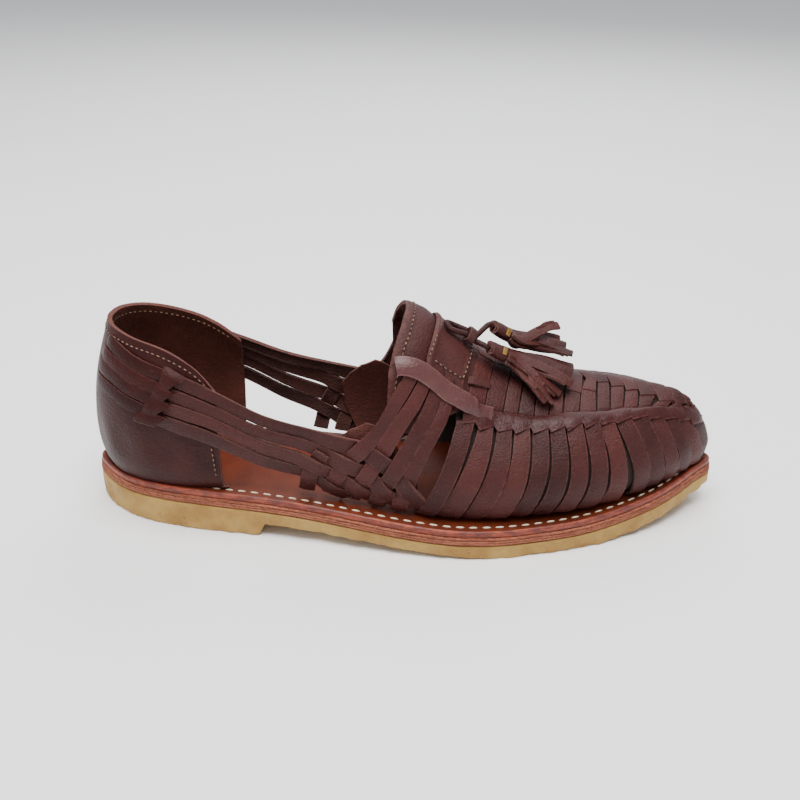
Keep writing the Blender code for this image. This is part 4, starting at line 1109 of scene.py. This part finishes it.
def band_place(side):
    path = on_side(BAND, side)

    def place(u, v):
        pinch = 1 - 0.28 * hump(u, 0.80, 0.10)
        wide = lay_strap(path, BAND_WIDTH, 0.0)
        spots, normal = wide(u, 0.5 + (v - 0.5) * pinch)
        across = 2 * v - 1
        swell = 0.0011 * (1 - across ** 2) + 0.0004 * np.sin(11 * u + 2 * v) * np.clip(u * 1.5, 0, 1)
        fold = 0.0006 * hump(u - 0.05 * across, 0.78, 0.04)
        return spots + normal * (swell + fold)[:, None], normal
    return place


for side_name, side in SIDES:
    leather_piece(f"saddle_band_{side_name}", add_panel(bmesh.new(), 110, 14, band_place(side), 0.55),
                  [band_leather_painted_sheen, strap_edge], BAND_THICKNESS, "woven_upper")


# Heel counter: one stiff piece of leather bent round the heel, with a thick raw rim, stitched
# below its rim. Four straps a side come out of slits at its back and go under a column of its
# own leather before they run forward.
COUNTER_END = 4.08
COUNTER_WALL = 0.0022
COUNTER_RIM = 0.0005


def counter_spot(u, v):
    """Station and girth on the shell, which steps over the foot shape's fold at the back of the heel."""
    turn = 1 - 2 * u
    place = COUNTER_END * np.sign(turn) * (0.035 + 0.965 * np.abs(turn))
    corner = np.clip(1 - np.minimum(u, 1 - u) * 13, 0, 1) ** 2
    rise = v * (1 - 0.10 * corner)
    return np.abs(place), np.where(place >= 0, rise - 2, 2 - rise)


def counter_place(u, v):
    station, girth = counter_spot(u, v)
    rise = COUNTER_WALL + COUNTER_RIM * np.clip((v - 0.90) / 0.1, 0, 1)
    rise = rise - 0.0007 * hump(v, 0.0, 0.05) + 0.0005 * hump(v, 0.16, 0.10)
    rise = rise + 0.0003 * np.sin(6.0 * station) * hump(v, 0.30, 0.12)
    return lay(station, girth, rise)


counter_leather = brown_leather("counter_leather", 0.25, 0.4, (36, 11, 10), (62, 26, 23), (98, 54, 48), 0.13)
counter_inside = brown_leather("counter_inside", 0.45, 0.8, (60, 30, 24), (98, 54, 44), (120, 76, 62))
counter_edge = raw_edge("counter_edge", (60, 27, 22), (110, 60, 50))
shape = add_panel(bmesh.new(), 261, 60, counter_place, 0.45, free=False)
# A small tab at each front corner turns out over the platform.
for side in (-1, 1):
    foot_rear = sided(((4.02, -1.999), (4.02, -1.968)), side)
    foot_front = sided(((4.22, -1.999), (4.20, -1.971)), side)
    add_panel(shape, 3, 8, between(foot_rear, foot_front, lambda u, v: 0.0024 - 0.0006 * v), 0.4)
leather_piece("counter_shell", shape, [counter_leather, counter_edge, counter_inside], COUNTER_WALL,
              "heel_counter", inside=2)

# The same for the straps outside the shell, from their slit at the back to the column.
BURIED_STRAPS = (
    ((1.10, -1.070, 1.6), (1.40, -1.078, 3.0), (1.85, -1.105, 3.3), (2.40, -1.140, 3.2), (3.10, -1.160, 2.4)),
    ((0.85, -1.160, 1.6), (1.20, -1.168, 3.0), (1.70, -1.183, 3.3), (2.30, -1.222, 3.2), (2.95, -1.255, 2.4)),
    ((0.62, -1.240, 1.6), (1.00, -1.245, 3.0), (1.60, -1.260, 3.3), (2.15, -1.300, 3.2), (2.80, -1.335, 2.4)),
    ((0.62, -1.335, 1.6), (0.95, -1.335, 3.0), (1.45, -1.348, 3.3), (2.00, -1.385, 3.2), (2.60, -1.430, 2.4)),
)
BURIED_WIDTH = 0.0060
BURIED_THICKNESS = 0.0014
BURIED_TONES = (0.35, 0.5, 0.42, 0.3)
COLUMN_THICKNESS = 0.0016
# Column over the straps, a row for each strap: its left edge's top and bottom, then its right's.
KNUCKLES = (
    ((2.92, -1.085), (2.82, -1.196), (3.45, -1.090), (3.03, -1.222)),
    ((2.74, -1.214), (2.66, -1.276), (3.17, -1.231), (2.91, -1.307)),
    ((2.52, -1.340), (2.43, -1.410), (3.08, -1.325), (2.74, -1.409)),
    ((2.26, -1.448), (2.19, -1.505), (2.96, -1.417), (2.63, -1.512)),
)


def column_place(side):
    def place(u, v):
        row = np.minimum((u * 4).astype(int), 3)
        share = (u * 4 - row)[:, None]
        corners = np.array(KNUCKLES)[row]
        left = corners[:, 0] * (1 - share) + corners[:, 1] * share
        front = corners[:, 2] * (1 - share) + corners[:, 3] * share
        spot = left * (1 - v)[:, None] + front * v[:, None]
        round_row = np.sin(math.pi * share[:, 0]) ** 0.5
        ends = np.clip((0.12 - u) / 0.12, 0, 1) ** 1.5 + np.clip((u - 0.92) / 0.08, 0, 1) ** 2
        lift = 0.0035 + 0.0013 * v ** 0.7 + 0.0004 * round_row + 0.0003 * np.sin(math.pi * v) - 0.0018 * ends
        return lay(spot[:, 0], side * -spot[:, 1], lift)
    return place


for side_name, side in SIDES:
    shape = bmesh.new()
    for k, path in enumerate(BURIED_STRAPS):
        add_panel(shape, 50, 5, lay_strap(on_side(path, side), BURIED_WIDTH, 0.0003), BURIED_TONES[k])
    leather_piece(f"counter_straps_{side_name}", shape, [counter_leather, strap_edge], BURIED_THICKNESS,
                  "heel_counter")
    shape = add_panel(bmesh.new(), 96, 10, column_place(side), free=False)
    leather_piece(f"counter_column_{side_name}", shape, [counter_leather, counter_edge], COLUMN_THICKNESS,
                  "heel_counter")


# Side linings: thin backing leather with a suede face, held between the weave and the foot on each
# side. It shows as a low hump above the weave.
LINING_ROWS = np.array(((-1.90, 6.90, 8.60), (-1.60, 6.60, 8.50), (-1.36, 6.52, 8.00), (-1.24, 6.74, 7.62),
                        (-1.17, 7.00, 7.34)))
LINING_WALL = 0.0011
lining_leather = brown_leather("lining_leather", 0.50, 1.2, (54, 26, 22), (84, 44, 38), (108, 66, 56))
for side_name, side in SIDES:
    def lining_place(u, v, side=side):
        girth = -1.90 + 0.73 * v
        rear = np.interp(girth, LINING_ROWS[:, 0], LINING_ROWS[:, 1])
        front = np.interp(girth, LINING_ROWS[:, 0], LINING_ROWS[:, 2])
        return lay(rear + (front - rear) * u, side * -girth, -0.0003)

    leather_piece(f"side_lining_{side_name}_leather", add_panel(bmesh.new(), 40, 30, lining_place, 0.6),
                  [lining_leather, saddle_edge], LINING_WALL, f"side_lining_{side_name}")


# Stitches of the upper: brown waxed thread in rows of pricked holes, each a dark bead of painted
# shade, along the rear of the cuff, round the patch, and below the rim and up the front edges of the counter.
brown_thread, shader = mottled("brown_thread", 0.001, (92, 62, 48), (150, 112, 86), 0.7)
UPPER_PITCH = 0.0026
UPPER_THREAD = 0.0006


def sew_line(name, line, lift, steps=14):
    """Stitches along a smooth line of station and girth."""
    rows = np.array(line, float)
    spot = curve_at(rows, np.linspace(0, len(rows) - 1, (len(rows) - 1) * steps + 1), False)
    spots, normals = lay(spot[:, 0], spot[:, 1], lift)
    sew(name, spots, normals, UPPER_PITCH, 0.62, UPPER_THREAD, brown_thread, 0.0001, 1.25)


def across_foot(half):
    """Line over the foot from its outer half, whose last point is on the crown."""
    return [*half, *[(station, -girth) for station, girth in half[-2::-1]]]


CUFF_STITCHES = across_foot(((7.90, -1.10), (7.96, -0.986), (8.03, -0.868), (8.09, -0.725), (8.18, -0.542),
                             (8.24, -0.267), (8.26, 0.0)))
REAR_STITCHES = across_foot(((8.54, -0.758), (8.63, -0.57), (8.76, -0.205), (8.78, 0.0)))
FRONT_STITCHES = across_foot(((9.33, -0.747), (9.40, -0.636), (9.49, -0.316), (9.51, 0.0)))
sew_line("cuff_stitches", CUFF_STITCHES, CUFF_WALL + 0.0006)
sew_line("patch_rear_stitches", REAR_STITCHES, PATCH_TOP + 0.0001)
sew_line("patch_front_stitches", FRONT_STITCHES, PATCH_TOP - 0.0001)
for side_name, side in SIDES:
    low_row = ((8.54, side * 0.758), (8.93, side * 0.750), (9.33, side * 0.747))
    sew_line(f"patch_low_stitches_{side_name}", low_row, PATCH_TOP - 0.0001)
    front_row = ((3.93, side * 1.58), (3.95, side * 1.70), (3.97, side * 1.86))
    sew_line(f"counter_front_stitches_{side_name}", front_row, COUNTER_WALL + 0.0004)
rim_u = np.linspace(0.03, 0.97, 70)
rim_station, rim_girth = counter_spot(rim_u, np.full(70, 0.955))
spots, normals = lay(rim_station, rim_girth, COUNTER_WALL + 0.0003)
sew("counter_rim_stitches", spots, normals, UPPER_PITCH, 0.6, UPPER_THREAD, brown_thread,
    0.0001, 1.25)
spots, normals = lay(rim_station, rim_girth, 0.0)
sew("counter_inside_stitches", spots, -normals, UPPER_PITCH, 0.6, UPPER_THREAD, brown_thread,
    0.0, 1.1)

# The patch's three slits a side: dark beads of painted shade laid on its surface.
SLIT_WIDTH = 0.0008
SLIT_DEPTH = 0.0006
slit_shade_beads = bmesh.new()
for side in (-1, 1):
    for rear_s, low_g, high_g in ((8.61, 0.868, 0.80), (8.90, 0.835, 0.78), (9.16, 0.855, 0.805)):
        (low_spot, high_spot), slit_normals = lay([rear_s, rear_s], [side * low_g, side * high_g],
                                                  PATCH_TOP - 0.0002)
        cut = high_spot - low_spot
        length = np.linalg.norm(cut)
        bead(slit_shade_beads, (low_spot + high_spot) / 2, cut / length, slit_normals[0], length * 1.5,
             SLIT_WIDTH, SLIT_DEPTH)
make_piece("patch_slit_shades", slit_shade_beads, [painted_shade_hollow])


# Keeper: a short strip of saddle leather on each side that holds the first plug strip down beside
# the patch. Its rear end goes in under the patch's front edge.
KEEPER_THICKNESS = 0.0014
shape = bmesh.new()
for side in (-1, 1):
    def keeper_lift(u, v):
        return 0.0038 + 0.0004 * np.sin(math.pi * v) - 0.0016 * np.clip((0.12 - v) / 0.12, 0, 1)

    rear = sided(((9.49, -0.745), (9.50, -0.640)), side)
    front = sided(((10.02, -0.640), (10.07, -0.525)), side)
    add_panel(shape, 8, 20, between(rear, front, keeper_lift), 0.6)
leather_piece("plug_keepers", shape, [saddle_leather, strap_edge], KEEPER_THICKNESS, "woven_upper")


# Tassels: a tab of leather rolled up and stapled, its other end cut into strands that lie
# forward over the vamp. The staples are flat brass wire.
# Each tassel: the rear and front of its head and the tips of its strands, as station, girth and
# height in metres, and the staple's place round the head in degrees.
TASSELS = {
    "tassel_outer": (((9.72, -0.20, 0.0100), (10.40, -0.12, 0.0088)), (
        (12.02, 0.02, 0.0086), (11.98, -0.14, 0.0078), (11.88, -0.28, 0.0060), (11.96, -0.40, 0.0082),
        (11.72, -0.52, 0.0058), (11.56, -0.68, 0.0062), (11.22, -0.50, 0.0094)), 52),
    "tassel_inner": (((9.68, 0.16, 0.0140), (10.32, 0.24, 0.0136)), (
        (11.98, 0.14, 0.0136), (11.84, 0.26, 0.0152), (11.94, 0.36, 0.0116), (11.76, 0.46, 0.0168),
        (11.64, 0.34, 0.0246), (11.86, 0.56, 0.0126)), 40),
}
HEAD_RADIUS = 0.0050
HEAD_LENGTH = 0.0130
ROLL_TURNS = 1.6
STRAND_WIDTH = 0.0050
STRAND_THICKNESS = 0.0013
LAYER_DROP = 0.0022
STRAND_FACE = -0.55
STRAND_CURLS = (0.25, -0.20, 0.35, -0.30, 0.15, 0.55, -0.35)


def on_last(station, girth, lift):
    return lay(station, girth, lift)[0][0]


def tassel_frame(start, end):
    rear = on_last(*start)
    axis = on_last(*end) - rear
    axis /= np.linalg.norm(axis)
    side = np.cross(axis, (0.0, 0.0, 1.0))
    side /= np.linalg.norm(side)
    return rear, axis, side, np.cross(side, axis)


def roll_place(rear, axis, side, up):
    def place(u, v):
        turn = 2 * math.pi * (0.45 - ROLL_TURNS * (1 - v))
        radius = HEAD_RADIUS * (0.42 + 0.58 * v) * (0.90 + 0.10 * np.sin(math.pi * np.clip(u * 1.3, 0, 1)))
        out = 1.20 * np.cos(turn)[:, None] * side + 0.76 * np.sin(turn)[:, None] * up
        spot = rear + axis * (HEAD_LENGTH * u * 1.02)[:, None] + out * radius[:, None]
        return spot, out / np.linalg.norm(out, axis=1)[:, None]
    return place


def ribbon_place(points, up, curl, seed):
    rows = np.array(points)

    def place(u, v):
        spot = curve_at(rows, u * (len(rows) - 1), False)
        front = curve_at(rows, np.minimum(u + 0.02, 1) * (len(rows) - 1), False)
        rear = curve_at(rows, np.maximum(u - 0.02, 0) * (len(rows) - 1), False)
        along = front - rear
        along /= np.linalg.norm(along, axis=1)[:, None]
        turn = STRAND_FACE * np.clip(u * 3, 0, 1) + curl * u
        across = np.cross(along, up)
        across /= np.linalg.norm(across, axis=1)[:, None]
        above = np.cross(across, along)
        flat = across * np.cos(turn)[:, None] + above * np.sin(turn)[:, None]
        normal = above * np.cos(turn)[:, None] - across * np.sin(turn)[:, None]
        off = (v - 0.5) * STRAND_WIDTH * (1 - 0.14 * u)
        sag = 0.0003 * np.sin(7 * u + seed) * u
        return spot + flat * off[:, None] + normal * (sag - 0.0003 * (2 * v - 1) ** 2)[:, None], normal
    return place


STAPLE_LENGTH = 0.0022
STAPLE_WIDTH = 0.0036
STAPLE_HEIGHT = 0.0009
STAPLE_PLACE = 0.0056
brass, shader = mottled("staple_brass", 0.002, (190, 150, 84), (150, 110, 58), 0.38)
shader.inputs["Metallic"].default_value = 0.8

on_lace = []
for tassel_name, (head, tips, staple_turn) in TASSELS.items():
    rear, axis, side, up = tassel_frame(*head)
    shape = add_panel(bmesh.new(), 14, 60, roll_place(rear, axis, side, up), 0.45)
    count = len(tips)
    for k, tip in enumerate(tips):
        spread = HEAD_RADIUS * 0.8 * (1 - 2 * k / (count - 1))
        for layer, drop in enumerate((0.0, LAYER_DROP)):
            level = HEAD_RADIUS * (0.62 if k % 2 else 0.40) - drop
            root = rear + axis * HEAD_LENGTH * 0.62 - side * spread + up * level
            end = on_last(*tip) - up * drop * 0.5 - axis * 0.0018 * layer * (1 + k % 2)
            straight = (end - root) / np.linalg.norm(end - root)
            early = rear + axis * HEAD_LENGTH * 1.05 - side * spread * 1.15 + up * (level - 0.0002)
            middle = (early + end) / 2 + up * (0.0010 - 0.5 * drop) + side * 0.0005 * math.sin(3 * k + layer)
            late = end - straight * 0.005 + up * 0.0003
            curl = STRAND_CURLS[(k + 2 * layer) % 7]
            strand = ribbon_place([root, early, middle, late, end], up, curl, k)
            add_panel(shape, 30, 4, strand, 0.3 + 0.07 * k)
    tassel = leather_piece(f"{tassel_name}_leather", shape, [strap_leather, strap_edge], STRAND_THICKNESS,
                           tassel_name, bevel=0.0002)
    pin = bmesh.new()
    turn = math.radians(staple_turn)
    out = 1.20 * math.cos(turn) * side + 0.76 * math.sin(turn) * up
    bmesh.ops.create_cube(pin, size=1.0)
    normal = out / np.linalg.norm(out)
    across = np.cross(normal, axis)
    stance = Matrix((axis * STAPLE_LENGTH, across * STAPLE_WIDTH, normal * STAPLE_HEIGHT))
    stance = stance.transposed().to_4x4()
    stance.translation = Vector(rear + axis * STAPLE_PLACE + out * HEAD_RADIUS * 0.93)
    bmesh.ops.transform(pin, matrix=stance, verts=pin.verts)
    staple = make_piece(f"{tassel_name}_staple", pin, [brass], smooth=False)
    rounded = staple.modifiers.new("rounded", 'BEVEL')
    rounded.width = 0.0002
    rounded.segments = 2
    on_lace += [tassel, staple]


# Thong: a round leather lace from one tassel, through a knot band, round a loop on the patch and
# back through the band to the other tassel. The loop lies on the patch.
THONG_DIAMETER = 0.0026
KNOT_STATION = 9.34
LOOP_GIRTH = -0.115
LOOP_STATION = 9.00
LOOP_END = 8.84
KNOT_LENGTH = 0.0038
KNOT_WALL = 0.0012
LACE_SPACING = 0.0032
LOOP_SPACING = 0.0044
LACE_LEAD = 0.0030
LACE_GAP = 0.0008
knot_lift = PATCH_TOP + THONG_DIAMETER / 2 + LACE_GAP + KNOT_WALL + 0.0003
ahead = on_last(KNOT_STATION + 0.1, LOOP_GIRTH, 0.0) - on_last(KNOT_STATION - 0.1, LOOP_GIRTH, 0.0)
ahead /= np.linalg.norm(ahead)
knot_up = lay(KNOT_STATION, LOOP_GIRTH, 0.0)[1][0]
knot_side = np.cross(ahead, knot_up)
knot_centre = on_last(KNOT_STATION, LOOP_GIRTH, knot_lift)
halves = []
for tassel_name, sign in (("tassel_outer", 1), ("tassel_inner", -1)):
    rear, axis, _, _ = tassel_frame(*TASSELS[tassel_name][0])
    lace = knot_centre + sign * knot_side * LACE_SPACING / 2
    straight = [lace + ahead * (KNOT_LENGTH / 2 + step) for step in (LACE_GAP, 0.0)]
    straight += [lace - ahead * (KNOT_LENGTH / 2 + step) for step in (0.0, LACE_GAP)]
    loop_lift = PATCH_TOP + THONG_DIAMETER / 2 + 0.0006
    hole_spot = on_last(LOOP_STATION, LOOP_GIRTH, loop_lift) + sign * knot_side * LOOP_SPACING / 2
    halves.append([rear - axis * LACE_GAP, rear - axis * LACE_LEAD, *straight, hole_spot])
route = np.array(halves[0] + [on_last(LOOP_END, LOOP_GIRTH, loop_lift)] + halves[1][::-1])
route[:, 0] -= HEEL_REST
points = curve_at(route, np.linspace(0, len(route) - 1, (len(route) - 1) * 5 + 1), False)
lace_curve = bpy.data.curves.new("thong_lace", 'CURVE')
lace_curve.dimensions = '3D'
lace_curve.bevel_depth = THONG_DIAMETER / 2
lace_curve.bevel_resolution = 4
lace_curve.use_fill_caps = True
spline = lace_curve.splines.new('POLY')
spline.points.add(len(points) - 1)
for point, spot in zip(spline.points, points):
    point.co = (*spot, 1.0)
lace_curve.materials.append(saddle_leather)
thong = bpy.data.objects.new("thong_lace", lace_curve)
bpy.context.scene.collection.objects.link(thong)
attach(thong, "root")
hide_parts("tassel_thong")


def knot_place(u, v):
    turn = 2 * math.pi * u
    high = THONG_DIAMETER / 2 + LACE_GAP + KNOT_WALL - 0.0002 * (2 * v - 1) ** 2
    out = knot_side * np.cos(turn)[:, None] + knot_up * np.sin(turn)[:, None]
    spot = knot_centre + ahead * ((v - 0.5) * KNOT_LENGTH)[:, None]
    spot = spot + knot_side * ((high + LACE_SPACING / 2) * np.cos(turn))[:, None]
    return spot + knot_up * (high * np.sin(turn))[:, None], out


shape = add_panel(bmesh.new(), 40, 8, knot_place)
bmesh.ops.remove_doubles(shape, verts=shape.verts, dist=1e-6)
knot = leather_piece("thong_knot_band", shape, [saddle_leather, strap_edge], KNOT_WALL, "thong_knot")
